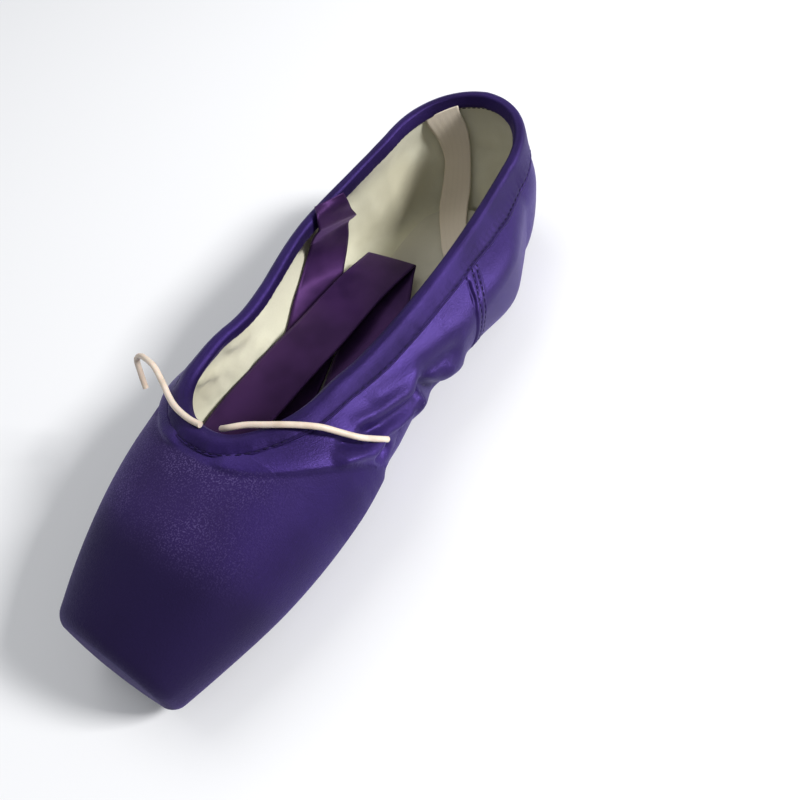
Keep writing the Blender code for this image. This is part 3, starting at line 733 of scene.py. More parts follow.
@dataclass(frozen=True)
class RibbonSatin:
    """Plum satin ribbon: lengthwise sheen, a finer weave and a firm edge on both sides."""

    name: str = "plum_ribbon_satin"
    deep: Colour = (0.016, 0.006, 0.031)
    lit: Colour = (0.042, 0.016, 0.070)
    edge: Colour = (0.010, 0.004, 0.020)

    def make(self) -> bpy.types.Material:
        """Builds the material; the UV map runs 0 to 1 across the ribbon and in its widths along it.

        Returns:
            The material.
        """
        r = Recipe(self.name)
        across = r.add("SeparateXYZ", {}, Vector=r.cloth).outputs["X"]
        ribs = r.noise(1.0, 2.0, vector=r.add("Mapping", {}, Vector=r.cloth, Scale=(6.0, 260.0, 1.0)))
        selvage = r.remap(r.math("ABSOLUTE", r.math("SUBTRACT", across, 0.5)), 0.465, 0.485)
        base = r.mix(r.remap(r.noise(60.0, 2.0), 0.3, 0.7), self.deep, self.lit)
        base = r.tint(base, self.lit, ribs, 0.25)
        base = r.tint(base, self.edge, selvage, 0.6)
        height = r.math("ADD", ribs, r.times(selvage, 1.6))
        return r.finish(Base_Color=base, Roughness=0.46, Normal=r.bump(0.3, 0.00015, height), Metallic=0.15,
                        Specular_Tint=(0.7, 0.3, 1.0, 1), Sheen_Weight=0.16, Sheen_Roughness=0.4,
                        Sheen_Tint=(0.65, 0.35, 1.0, 1), Anisotropic=0.5,
                        Tangent=r.add("Tangent", {"direction_type": "UV_MAP"}))


@dataclass(frozen=True)
class Elastic:
    """Skin-coloured woven elastic: fine ribs along it and firm edges."""

    name: str = "woven_elastic"
    colour: Colour = (0.70, 0.61, 0.49)
    groove_shade: Colour = (0.56, 0.485, 0.39)
    ribs: int = 11

    def make(self) -> bpy.types.Material:
        """Builds the material; the UV map runs 0 to 1 across the elastic and in its widths along it.

        Returns:
            The material.
        """
        r = Recipe(self.name)
        lines = r.add("TexWave", {"bands_direction": "X"}, Vector=r.cloth, Scale=self.ribs / math.tau,
                      Distortion=0.2)
        picks = r.add("TexWave", {"bands_direction": "Y"}, Vector=r.cloth, Scale=12.0, Distortion=0.5,
                      Detail=1.0)
        fuzz = r.noise(1600.0, 2.0)
        # painted shade: darker in the grooves between the ribs and along the picks
        base = r.mix(r.remap(lines, 0.0, 0.45, 0.12, 0.0), self.colour, self.groove_shade)
        base = r.tint(base, self.groove_shade, r.remap(picks, 0.5, 1.0), 0.22)
        height = r.math("ADD", r.times(lines, 0.3), r.math("ADD", r.times(picks, 0.25), fuzz))
        return r.finish(Base_Color=base, Roughness=0.82, Normal=r.bump(0.3, 0.00018, height),
                        Sheen_Weight=0.25,
                        Sheen_Roughness=0.5)


@dataclass(frozen=True)
class Leather:
    """Buffed sole leather: suede grain and rub marks scattered over it."""

    name: str = "buffed_sole_leather"
    colour: Colour = (0.36, 0.25, 0.165)
    rub_and_glint: Colour = (0.22, 0.145, 0.095)

    def make(self) -> bpy.types.Material:
        """Builds the material.

        Returns:
            The material.
        """
        r = Recipe(self.name)
        grain, rub = r.noise(900.0, 6.0, 0.7), r.noise(26.0, 5.0, 0.6)
        base = r.mix(r.remap(rub, 0.42, 0.68), self.colour, self.rub_and_glint)
        base = r.tint(base, self.rub_and_glint, r.remap(grain, 0.4, 0.7), 0.35)
        return r.finish(Base_Color=base, Roughness=r.remap(rub, 0.3, 0.7, 0.72, 0.9),
                        Normal=r.bump(0.5, 0.0002, grain), Specular_IOR_Level=0.3)


@dataclass(frozen=True)
class WaxedCord:
    """Cream waxed cotton cord: a fine braid under a thin gloss."""

    name: str = "cream_waxed_cord"
    colour: Colour = (0.70, 0.585, 0.48)
    hollow: Colour = (0.54, 0.43, 0.33)

    def make(self) -> bpy.types.Material:
        """Builds the material.

        Returns:
            The material.
        """
        r = Recipe(self.name)
        braid = r.add("TexVoronoi", {"feature": "SMOOTH_F1"}, Vector=r.place, Scale=2600.0)
        base = r.mix(r.remap(r.noise(160.0, 3.0), 0.4, 0.75), self.colour, self.hollow)
        return r.finish(Base_Color=base, Roughness=0.5, Normal=r.bump(0.25, 0.00012, braid), Sheen_Weight=0.1,
                        Coat_Weight=0.12, Coat_Roughness=0.35, Subsurface_Weight=0.08, Subsurface_Scale=0.001)


@dataclass(frozen=True)
class Thread:
    """Sewing thread: twisted, with a soft gloss."""

    name: str
    colour: Colour

    def make(self) -> bpy.types.Material:
        """Builds the material.

        Returns:
            The material.
        """
        r = Recipe(self.name)
        twist = r.noise(6000.0, 1.0)
        base = r.mix(twist, self.colour, tuple(c * 1.7 for c in self.colour))
        return r.finish(Base_Color=base, Roughness=0.7, Specular_IOR_Level=0.12,
                        Normal=r.bump(0.3, 0.0001, twist))


@dataclass(frozen=True)
class FloorPaint:
    """The pale floor."""

    name: str = "pale_floor"
    colour: Colour = (0.86, 0.86, 0.87)

    def make(self) -> bpy.types.Material:
        """Builds the material."""
        return Recipe(self.name).finish(Base_Color=self.colour, Roughness=0.7, Specular_IOR_Level=0.15)


class Cloth:
    """A mesh in the making: grids of points, in millimetres, that are joined where they meet."""

    def __init__(self) -> None:
        """Starts with no points."""
        self.points: list[Array] = []
        self.faces: list[tuple[int, ...]] = []
        self.corners: list[tuple[float, float]] = []
        self.slots: list[int] = []
        self.weights: list[Array] = []
        self.count = 0

    def grid(self, points: Array, uv: Array, slot: int = 0, wrap: bool = False,
             weight: Array | None = None) -> Array:
        """Adds a grid.

        Args:
            points: Its points, rows by columns by three.
            uv: Their places on the cloth.
            slot: Which material its faces have.
            wrap: True where the last column joins the first.
            weight: A number for each point, kept as the attribute stiffness.

        Returns:
            The points' numbers, rows by columns.
        """
        rows, columns = points.shape[:2]
        numbers = self.count + np.arange(rows * columns).reshape(rows, columns)
        self.points.append(points.reshape(-1, 3))
        self.weights.append(np.zeros(rows * columns) if weight is None else weight.reshape(-1))
        self.count += rows * columns
        for i in range(rows - 1):
            for j in range(columns if wrap else columns - 1):
                k = (j + 1) % columns
                self.faces.append((numbers[i, j], numbers[i, k], numbers[i + 1, k], numbers[i + 1, j]))
                last = uv[:, j] + (uv[:, j] - uv[:, j - 1]) if k == 0 else uv[:, k]
                self.corners += [tuple(uv[i, j]), tuple(last[i]), tuple(last[i + 1]), tuple(uv[i + 1, j])]
                self.slots.append(slot)
        return numbers

    def fan(self, ring: Array, centre: Array, slot: int = 0) -> None:
        """Closes a ring of points with triangles to a centre.

        Args:
            ring: The numbers of the ring's points, in order.
            centre: The point in the middle.
            slot: The slot of the faces' material.
        """
        self.points.append(centre.reshape(1, 3))
        self.weights.append(np.ones(1))
        tip = self.count
        self.count += 1
        for a, b in zip(ring, np.roll(ring, -1)):
            self.faces.append((a, b, tip))
            self.corners += [(0.0, 0.0)] * 3
            self.slots.append(slot)

    def piece(self, name: str, finishes: Sequence[bpy.types.Material],
              merge: float = 0.01) -> bpy.types.Object:
        """Makes the object: merged where grids meet, closed, with its faces outwards.

        Args:
            name: The object's name.
            finishes: Its materials, by slot.
            merge: Points nearer than this, in millimetres, become one.

        Returns:
            The object, at the origin.
        """
        mesh = bpy.data.meshes.new(name)
        mesh.from_pydata((np.vstack(self.points) * MM).tolist(), [], [tuple(map(int, f)) for f in self.faces])
        layer = mesh.uv_layers.new(name="cloth")
        layer.data.foreach_set("uv", np.array(self.corners, np.float32).ravel())
        mesh.polygons.foreach_set("material_index", np.array(self.slots, np.int32))
        stiffness = mesh.attributes.new("stiffness", "FLOAT", "POINT")
        stiffness.data.foreach_set("value", np.concatenate(self.weights).astype(np.float32))
        bm = bmesh.new()
        bm.from_mesh(mesh)
        bmesh.ops.remove_doubles(bm, verts=bm.verts, dist=merge * MM)
        bmesh.ops.dissolve_degenerate(bm, edges=bm.edges, dist=merge * MM)
        bmesh.ops.recalc_face_normals(bm, faces=bm.faces)
        bm.to_mesh(mesh)
        bm.free()
        mesh.shade_smooth()
        for finish in finishes:
            mesh.materials.append(finish)
        return hang(name, mesh)


def beside(points: Array, normals: Array, line: Array, side: int) -> tuple[Array, Array, Array]:
    """Finds where points of the shoe's surface lie by a line on it.

    Args:
        points: The points.
        normals: The surface's normals there.
        line: The line's corners.
        side: Which side of the shoe, 1 or -1.

    Returns:
        The distances, how far along the line, and a number above 0 on the side of the collar.
    """
    lengths = along_path(line)
    best, place = np.full(points.shape[:-1], np.inf), np.zeros(points.shape[:-1])
    offset, direction = np.zeros(points.shape), np.zeros(points.shape)
    for k, (a, b) in enumerate(zip(line, line[1:])):
        step = b - a
        t = np.clip(((points - a) @ step) / max(step @ step, 1e-9), 0, 1)
        away = points - a - t[..., None] * step
        distance = np.linalg.norm(away, axis=-1)
        nearer = distance < best
        best = np.where(nearer, distance, best)
        place = np.where(nearer, lengths[k] + t * np.linalg.norm(step), place)
        offset = np.where(nearer[..., None], away, offset)
        direction = np.where(nearer[..., None], step / max(np.linalg.norm(step), 1e-9), direction)
    return best, place, (np.cross(normals, direction) * offset).sum(-1) * side


@dataclass(frozen=True)
class Fold:
    """A soft ridge of the cloth, or a trough where its height is below nothing, along a line of the shoe.

    It slopes down over width on the side of the collar, and over drop, where that is given, towards the sole.
    """

    line: tuple[Point, ...]
    height: float
    width: float
    drop: float = 0.0
    start: float = 6.0
    end: float = 6.0

    def lift(self, points: Array, normals: Array, side: int) -> Array:
        """How far it lifts each point.

        Args:
            points: Points of the satin.
            normals: Their normals.
            side: The side of the shoe, 1 or -1, which is the sign of X.

        Returns:
            The lift of each point, less than nothing in a trough.
        """
        path = curve_through(self.line, 6)
        distance, along, upwards = beside(points, normals, path, side)
        width = np.where(upwards > 0, self.width, self.drop) if self.drop else self.width
        total = along_path(path)[-1]
        ends = smooth(along / self.start) * smooth((total - along) / self.end)
        return self.height * np.exp(-(distance / width) ** 2) * ends


@dataclass
class Upper:
    """The satin upper with its cotton lining, one hollow piece."""

    columns: int = 190
    low_rows: int = 20
    high_rows: int = 60
    lip_rows: int = 4
    tip_wall: float = 8.0
    platform_dome: float = 0.9
    seam_height: float = 0.5
    seam_station: float = 157.0
    seam_half_width: float = 2.7
    seam_shoulder: float = 0.6
    seam_reach: float = 7.0
    seam_foot: float = 4.0
    relief_from: tuple[float, float] = (-0.02, 0.05)
    back_seam_y: float = 100.0
    back_seam_half_width: float = 2.2
    least_wall: float = 0.6
    fine_step: float = 0.6
    least_step: float = 0.04
    box_end: float = 52.3
    folded: tuple[float, float] = (28.0, 24.0)
    box_held: tuple[float, float] = (1.0, 1.6)
    box_before: float = 100.0
    pleated: tuple[float, float] = (62.0, 14.0)
    pleats_start: tuple[float, float] = (4.0, 8.0)
    pleats_way: tuple[float, float] = (0.42, 0.3)
    pleat: Wave = Wave(9.0, 21, 0.45)
    throat_gap: float = 6.0
    platform_held: tuple[float, float] = (52.0, 6.0)
    cap_rings: int = 12
    folds: dict[Side, tuple[Fold, ...]] = field(default_factory=dict)
    lining_folds: dict[Side, tuple[Fold, ...]] = field(default_factory=dict)

    def stations(self) -> Array:
        """Stations of its columns: close together at the rim, the throat and the seams.

        Returns:
            The stations, from the platform to the heel.
        """
        rim = LAST.rim_radius * (1 - np.cos(np.linspace(0, np.pi / 2, 8)))
        throat = LAST.throat_stations(26)
        even = np.linspace(LAST.rim_radius, LAST.length, self.columns)
        even = even[(even < LAST.throat - 0.5) | (even > throat[-1])]
        even = even[np.abs(even - self.seam_station) > self.seam_reach]
        box_end = np.arange(self.box_end, LAST.throat, self.fine_step)
        seam = self.seam_station + np.linspace(-1, 1, 45) * self.seam_reach
        front = np.arange(throat[-1] - self.folded[0], throat[-1] + self.folded[1], self.fine_step)
        rows = np.concatenate((rim, even, throat, seam, box_end,
                               front[front > LAST.throat + self.throat_gap]))
        rows = np.unique(np.round(rows, 4))
        return rows[np.concatenate(([True], np.diff(rows) > self.least_step))]

    def ways(self) -> Array:
        """Ways of its rows, from the hole under the sole to the collar; below 0 lies under the tread.

        They are closest together where the folds lie.

        Returns:
            The ways, from the lowest to the collar.
        """
        lip = np.linspace(-1, 0, self.lip_rows, endpoint=False)
        low = np.linspace(0, 1, self.low_rows, endpoint=False)
        high = np.interp(np.linspace(0, 1, self.high_rows), (0, 0.2, 0.93, 1), (0, 0.35, 0.95, 1))
        return np.concatenate((lip, low, 1 + high))

    def skins(self, side: int) -> tuple[Array, Array, Array, Array]:
        """The outer and inner points of one side, and their stations and ways.

        Args:
            side: The side of the shoe, 1 or -1, which is the sign of X.

        Returns:
            The outer points, the inner points, their stations and their ways, each as a grid.
        """
        station, way = np.meshgrid(self.stations(), self.ways(), indexing="ij")
        quarter = station > LAST.throat_end
        moved = np.where(quarter, LAST.slanted(station, np.clip(way, 0, 2)), station)
        reach = np.where(way > 1, 1 + (way - 1) * LAST.cut(side, moved), np.clip(way, 0, 1))
        outer, normal = LAST.point(side, moved, reach), LAST.normal(side, moved, reach)
        normal[way <= 0] = (0, 0, -1)
        p = LAST.profile(side, moved)
        hole = LAST.hole(moved)
        under = LAST.place(p, hole + (p.tread - hole) * (np.clip(way, -1, 0) + 1), p.bottom)
        outer = np.where((way < 0)[..., None], under, outer)
        inner = outer - normal * LAST.wall(station)[..., None]
        raised = self.relief(side, outer, normal, station, way) * rise(way, *self.relief_from)
        pushed = np.minimum(raised + LAST.wall(station) - self.least_wall, 0)
        inner = inner + normal * (self.lifted(self.lining_folds, side, inner, normal) + pushed)[..., None]
        outer = outer + normal * raised[..., None]
        for points in (outer, inner):
            middle = ((station >= LAST.length) | ((station <= LAST.throat) & (way > 2 - CLOSE))
                      | ((station <= LAST.opening_start) & (way <= CLOSE - 1)))
            points[..., 0] = np.where(middle, 0, points[..., 0])
        return outer, inner, station, way

    @staticmethod
    def lifted(folds: dict[Side, tuple[Fold, ...]], side: int, points: Array, normals: Array) -> Array:
        """How far the folds of one side lift each point, all together.

        Args:
            folds: The folds of each side.
            side: The side of the shoe, 1 or -1, which is the sign of X.
            points: Points of the satin.
            normals: Their normals.

        Returns:
            The lift of each point.
        """
        raised = np.zeros(points.shape[:-1])
        for fold in folds.get(Side(side), ()):
            raised = raised + fold.lift(points, normals, side)
        return raised

    def relief(self, side: int, points: Array, normals: Array, station: Array, way: Array) -> Array:
        """How far the satin stands off the last: seams and folds.

        Args:
            side: The side of the shoe, 1 or -1, which is the sign of X.
            points: Points of the last.
            normals: Their normals.
            station: Their stations.
            way: Their ways.

        Returns:
            The height of each point.
        """
        middle = curve_through(mirror(SEAM_ROWS[0], side), 6)
        distance, along, _ = beside(points, normals, middle, side)
        foot = fall(along, along_path(middle)[-1], self.seam_foot)
        raised = self.seam_height * smooth(1 - (distance - self.seam_half_width) / self.seam_shoulder) * foot
        back = np.abs(points[..., 0]) - self.back_seam_half_width
        at_back = (station > LAST.length - LAST.heel_radius) & (points[..., 1] > self.back_seam_y)
        raised = np.maximum(raised,
                            np.where(at_back, self.seam_height * smooth(1 - back / self.seam_shoulder), 0))
        return raised + self.lifted(self.folds, side, points, normals) + self.pleats(station, way)

    def pleats(self, station: Array, way: Array) -> Array:
        """The satin's pleats where it is drawn in under the toe."""
        near = fall(station, *self.pleated) * rise(station, *self.pleats_start) * fall(way, *self.pleats_way)
        return near * self.pleat.read(station * 4 + 100, near)

    def stiffness(self, side: int, points: Array, normals: Array, station: Array) -> Array:
        """How much the stiff box holds each point, by the line where it ends; the platform's edge is all
        stiff.

        Args:
            side: The side of the shoe, 1 or -1, which is the sign of X.
            points: Points of the last.
            normals: Their normals.
            station: Their stations.

        Returns:
            1 where the box holds the satin, 0 where it is free, and between them at the edge.
        """
        distance, _, upwards = beside(points, normals, curve_through(mirror(BOX_EDGE, side), 5), side)
        shift, reach = self.box_held
        held = smooth(0.5 - (np.copysign(distance, upwards) + shift) / reach) * (station < self.box_before)
        return np.maximum(held, fall(station, *self.platform_held))

    def cap(self, cloth: Cloth, ring: Array, depth: float, slot: int) -> None:
        """Closes the platform with rings that shrink to a shallow dome.

        Args:
            cloth: The cloth that gets the faces.
            ring: The points of the platform's edge.
            depth: How far forward the middle of the dome lies.
            slot: The slot of the faces' material.
        """
        middle_z = (ring[:, 2].min() + ring[:, 2].max()) / 2
        level = ring[np.argmin(np.abs(ring[:, 2] - middle_z))]
        centre = np.array((0, level[1], middle_z))
        shrinks = np.linspace(1, 0, self.cap_rings)[:-1]
        rings = centre + (ring - centre) * shrinks[:, None, None]
        rings[..., 1] -= depth * (1 - shrinks ** 2)[:, None]
        uv = np.stack((rings[..., 0], rings[..., 2]), axis=-1) / 100
        made = cloth.grid(rings, uv, slot=slot, wrap=True, weight=np.ones(rings.shape[:2]))
        cloth.fan(made[-1], centre - np.array((0, depth, 0)), slot=slot)

    def build(self, satin: bpy.types.Material, lining: bpy.types.Material) -> bpy.types.Object:
        """Makes the upper.

        Args:
            satin: The finish outside.
            lining: The finish inside.

        Returns:
            The piece.
        """
        cloth = Cloth()
        rings: tuple[list[Array], list[Array]] = ([], [])
        for side in Side:
            outer, inner, station, way = self.skins(side.value)
            girth = np.stack([along_path(row) for row in outer])
            girth = girth[:, -1:] - girth
            uv = np.stack((station, girth * side.value), axis=-1) / 100
            stiff = self.stiffness(side.value, outer, LAST.normal(side.value, station, np.clip(way, 0, 2)),
                                   station)
            start = int(np.argmax(station[:, 0] >= self.tip_wall))
            cloth.grid(outer, uv, slot=0, weight=stiff)
            coarse = np.unique((*range(0, way.shape[1], 2), way.shape[1] - 1))
            cloth.grid(inner[start:, coarse], uv[start:, coarse], slot=1)
            throat = int(np.argmax(station[:, 0] >= LAST.throat))
            hole = int(np.argmax(station[:, 0] > LAST.opening_start)) - 1
            for row, first in ((-1, throat), (0, hole)):
                edge = np.stack((outer[first:, row], inner[first:, row]), axis=1)
                cloth.grid(edge, np.stack((uv[first:, row], uv[first:, row]), axis=1), slot=0)
            rings[0].append(outer[0])
            rings[1].append(inner[start, coarse])
        for slot, depth in ((0, self.platform_dome), (1, LAST.box_wall)):
            self.cap(cloth, np.concatenate((rings[slot][0], rings[slot][1][::-1])), depth, slot)
        return cloth.piece("satin_upper", (satin, lining))


@dataclass
class Casing:
    """The satin channel round the collar, which holds the drawstring.

    Each place of an outline is how far below the upper's edge it lies, and how far out from the skin.
    """

    outer: tuple[tuple[float, float], ...] = ((9.2, 0.0), (9.2, 0.5), (8.8, 0.85), (8.1, 0.7), (7.3, 1.1),
                                              (3.5, 1.7), (0.5, 1.6), (-1.0, 0.8))
    top: tuple[float, float] = (-1.6, -0.9)
    inner: tuple[tuple[float, float], ...] = ((-1.0, 0.3), (0.4, 0.9), (2.0, 1.5), (3.0, 1.5), (3.7, 0.8),
                                              (3.7, 0.1))
    depths: tuple[tuple[float, float], ...] = ((62, 5.9), (70, 5.6), (83, 6.4), (100, 7.0), (112, 7.8),
                                               (133, 8.0), (158, 8.6), (172, 10.0), (186, 11.4),
                                               (203, 11.2), (235, 9.5))
    reach: float = 9.5
    back_below: float = 8.8
    stitch_below: float = 8.1
    inner_stitch_below: float = 4.6
    stitch_out: tuple[float, float] = (0.75, 0.1)
    pitch: float = 2.6
    stitch_pull: float = 0.1
    pull_reach: float = 3.2
    drawn_in: tuple[float, float] = (84.0, 18.0)
    fine: Wave = Wave(1.5, 11, 0.12, 0.10)
    broad: tuple[Wave, ...] = (Wave(4.5, 12, 0.10, 0.28), Wave(15, 13, 0.18))
    lowest_gather: float = 0.3

    def ring(self) -> list[tuple[int, Array]]:
        """Stations of the collar for each side, from the throat to the heel.

        Returns:
            Each side with its stations, once round the collar.
        """
        throat = LAST.throat_stations(44)
        quarters = np.linspace(throat[-1], LAST.length, 190)[1:]
        stations = np.concatenate((throat, quarters))
        return [(1, stations), (-1, stations[::-1])]

    def share(self, stations: Array) -> Array:
        """How far down the casing reaches outside, as a share of its full reach: the throat's edge is
        rolled in.

        Args:
            stations: Stations of the collar.

        Returns:
            The share at each station.
        """
        table = np.array(self.depths)
        k = np.clip(np.searchsorted(table[:, 0], stations, "right") - 1, 0, len(table) - 2)
        t = smooth((stations - table[k, 0]) / (table[k + 1, 0] - table[k, 0]))
        return (table[k, 1] + (table[k + 1, 1] - table[k, 1]) * t) / self.reach

    def line(self, below: float, out: float, inside: bool = False, extra: Array | float = 0.0) -> Array:
        """A closed line round the collar.

        Args:
            below: How far under the upper's edge.
            out: How far from the skin.
            inside: True for the inner skin.
            extra: What is added to out, for each of its points.

        Returns:
            Its points, from the throat over the left side to the heel and back over the right.
        """
        places, aways = [], []
        for side, stations in self.ring():
            scaled = below * (self.share(stations) if below > 0 and not inside else np.ones_like(stations))
            point, normal, at = LAST.walk_down(side, stations, scaled)
            base = point - normal * LAST.wall(at)[:, None] if inside else point
            base[(stations >= LAST.length) | (stations <= LAST.throat), 0] = 0
            away = -normal if inside else normal
            keep = slice(None) if side > 0 else slice(1, -1)
            places.append(base[keep])
            aways.append(away[keep])
        return np.concatenate(places) + np.concatenate(aways) * np.reshape(out + extra, (-1, 1))

    def gathers(self, below: float, inside: bool) -> Array:
        """How far the cloth is puckered there: most at the stitches and at the throat, where it is drawn
        in.

        Args:
            below: How far below the collar the row of points lies.
            inside: Whether it lies inside the shoe.

        Returns:
            How far out each point of the row is moved.
        """
        (_, left), (_, right) = self.ring()
        stations = np.concatenate((left, right[1:-1]))
        distance = along_path(self.line(0.0, 0.0))
        throat = fall(stations, *self.drawn_in)
        pull = self.stitch_pull * np.cos(distance * 2 * np.pi / self.pitch)
        fine = self.fine.read(distance, throat) + pull
        broad = self.broad[0].read(distance, throat) + self.broad[1].read(distance, throat)
        stitches = self.inner_stitch_below if inside else self.stitch_below
        near = math.exp(-((below - stitches) / self.pull_reach) ** 2)
        return (fine * near + broad * (0.35 + 0.65 * near)) * (0.6 if inside else 1.0)

    def build(self, satin: bpy.types.Material) -> bpy.types.Object:
        """Makes the casing with its gathers.

        Args:
            satin: The binding's material.

        Returns:
            The casing.
        """
        places = [(row, inside) for table, inside in ((curve_through(self.outer, 4), False),
                                                      ((self.top,), False),
                                                      (curve_through(self.inner, 4), True)) for row in table]
        rows = [self.line(below, out, inside,
                          self.gathers(below, inside) if out > self.lowest_gather else 0.0)
                for (below, out), inside in places]
        rows += [self.line(0.0, 0.0), self.line(self.back_below, 0.0)]
        grid = np.stack(rows, axis=1)
        closed = np.concatenate((grid, grid[:1]))
        length = along_path(closed[:, 0])
        girth = np.concatenate(([0.0],
                                np.cumsum(np.linalg.norm(np.diff(grid, axis=1), axis=-1).mean(axis=0))))
        uv = np.stack(np.broadcast_arrays(length[:, None], girth[None, :]), axis=-1) / 100
        cloth = Cloth()
        cloth.grid(closed, uv, wrap=True)
        return cloth.piece("drawstring_casing_satin", (satin,))

    def stitch_lines(self) -> list[Array]:
        """The seam that holds the casing, outside and on the lining."""
        lines = (self.line(self.stitch_below, self.stitch_out[0]),
                 self.line(self.inner_stitch_below, self.stitch_out[1], inside=True))
        return [np.concatenate((line, line[:1])) for line in lines]


@dataclass
class FlatPiece:
    """A sole or sock: an outline from the last, a thickness and rounded edges.

    Its half width is a column of the sections and turns to back at the heel's end. It starts with a round
    front that is reach long. Its underside is above higher than the upper's; where that is more than
    nothing, it lies inside, on the upper's wall. Its top is sunk in the middle by dish.
    """

    name: str
    column: str
    back: float
    start: float
    reach: float
    thickness: float
    rounding: float
    above: float
    extra: float = 0.0
    dish: float = 0.0
    front_rows: int = 12
    dish_from: tuple[float, float] = (2.0, 4.0)
    columns: int = 110
    across: int = 18

    def half(self, station: Array) -> Array:
        """Half width, round at the front."""
        along = np.clip((station - self.start) / self.reach, 0, 1)
        return (LAST.spread(self.column, station, self.back) + self.extra) * np.sqrt(1 - (1 - along) ** 2)

    def ring(self) -> list[tuple[float, float, float]]:
        """The cross section: share of the half width, how far in from the edge, and height, once round.

        Returns:
            The corners of the cross section, in order.
        """
        r, t = self.rounding, self.thickness
        bends = [(math.sin(a), math.cos(a)) for a in np.linspace(0, math.pi / 2, 5)]
        edge = [(1.0, r * (1 - s), t - r * (1 - c)) for s, c in bends]
        edge += [(1.0, r * (1 - c), r * (1 - s)) for s, c in bends]
        shares = np.linspace(-1, 1, self.across + 1)[1:-1]
        top, bottom = ([(way * share, r, height) for share in shares] for way, height in ((1, t), (-1, 0.0)))
        return top + edge + bottom + [(-1.0, inset, height) for _, inset, height in reversed(edge)]

    def build(self, finish: bpy.types.Material) -> bpy.types.Object:
        """Makes the piece.

        Args:
            finish: The piece's material.

        Returns:
            The piece.
        """
        round_front = self.start + self.reach * (1 - np.cos(np.linspace(0, np.pi / 2, self.front_rows)))
        station = np.concatenate((round_front,
                                  np.linspace(self.start + self.reach, LAST.length, self.columns)[1:]))
        half = self.half(station)
        bottom = LAST.underside(station) + self.above
        if self.above > 0:
            bottom = bottom + LAST.wall(station)
        rows = []
        for share, inset, height in self.ring():
            out = np.maximum(half - inset, 0) * abs(share)
            side = 1 if share >= 0 else -1
            hollow = self.dish * np.clip((half - self.dish_from[0]) / self.dish_from[1], 0, 1)
            sunk = hollow * (1 - share * share) if height >= self.thickness - 0.01 else 0.0
            rows.append(LAST.place(SimpleNamespace(station=station, side=side), out, bottom + height - sunk))
        grid = np.stack(rows, axis=1)
        grid[-1, :, 0] = 0
        uv = grid[..., :2] / 100
        cloth = Cloth()
        cloth.grid(grid, uv, wrap=True)
        return cloth.piece(self.name, (finish,))


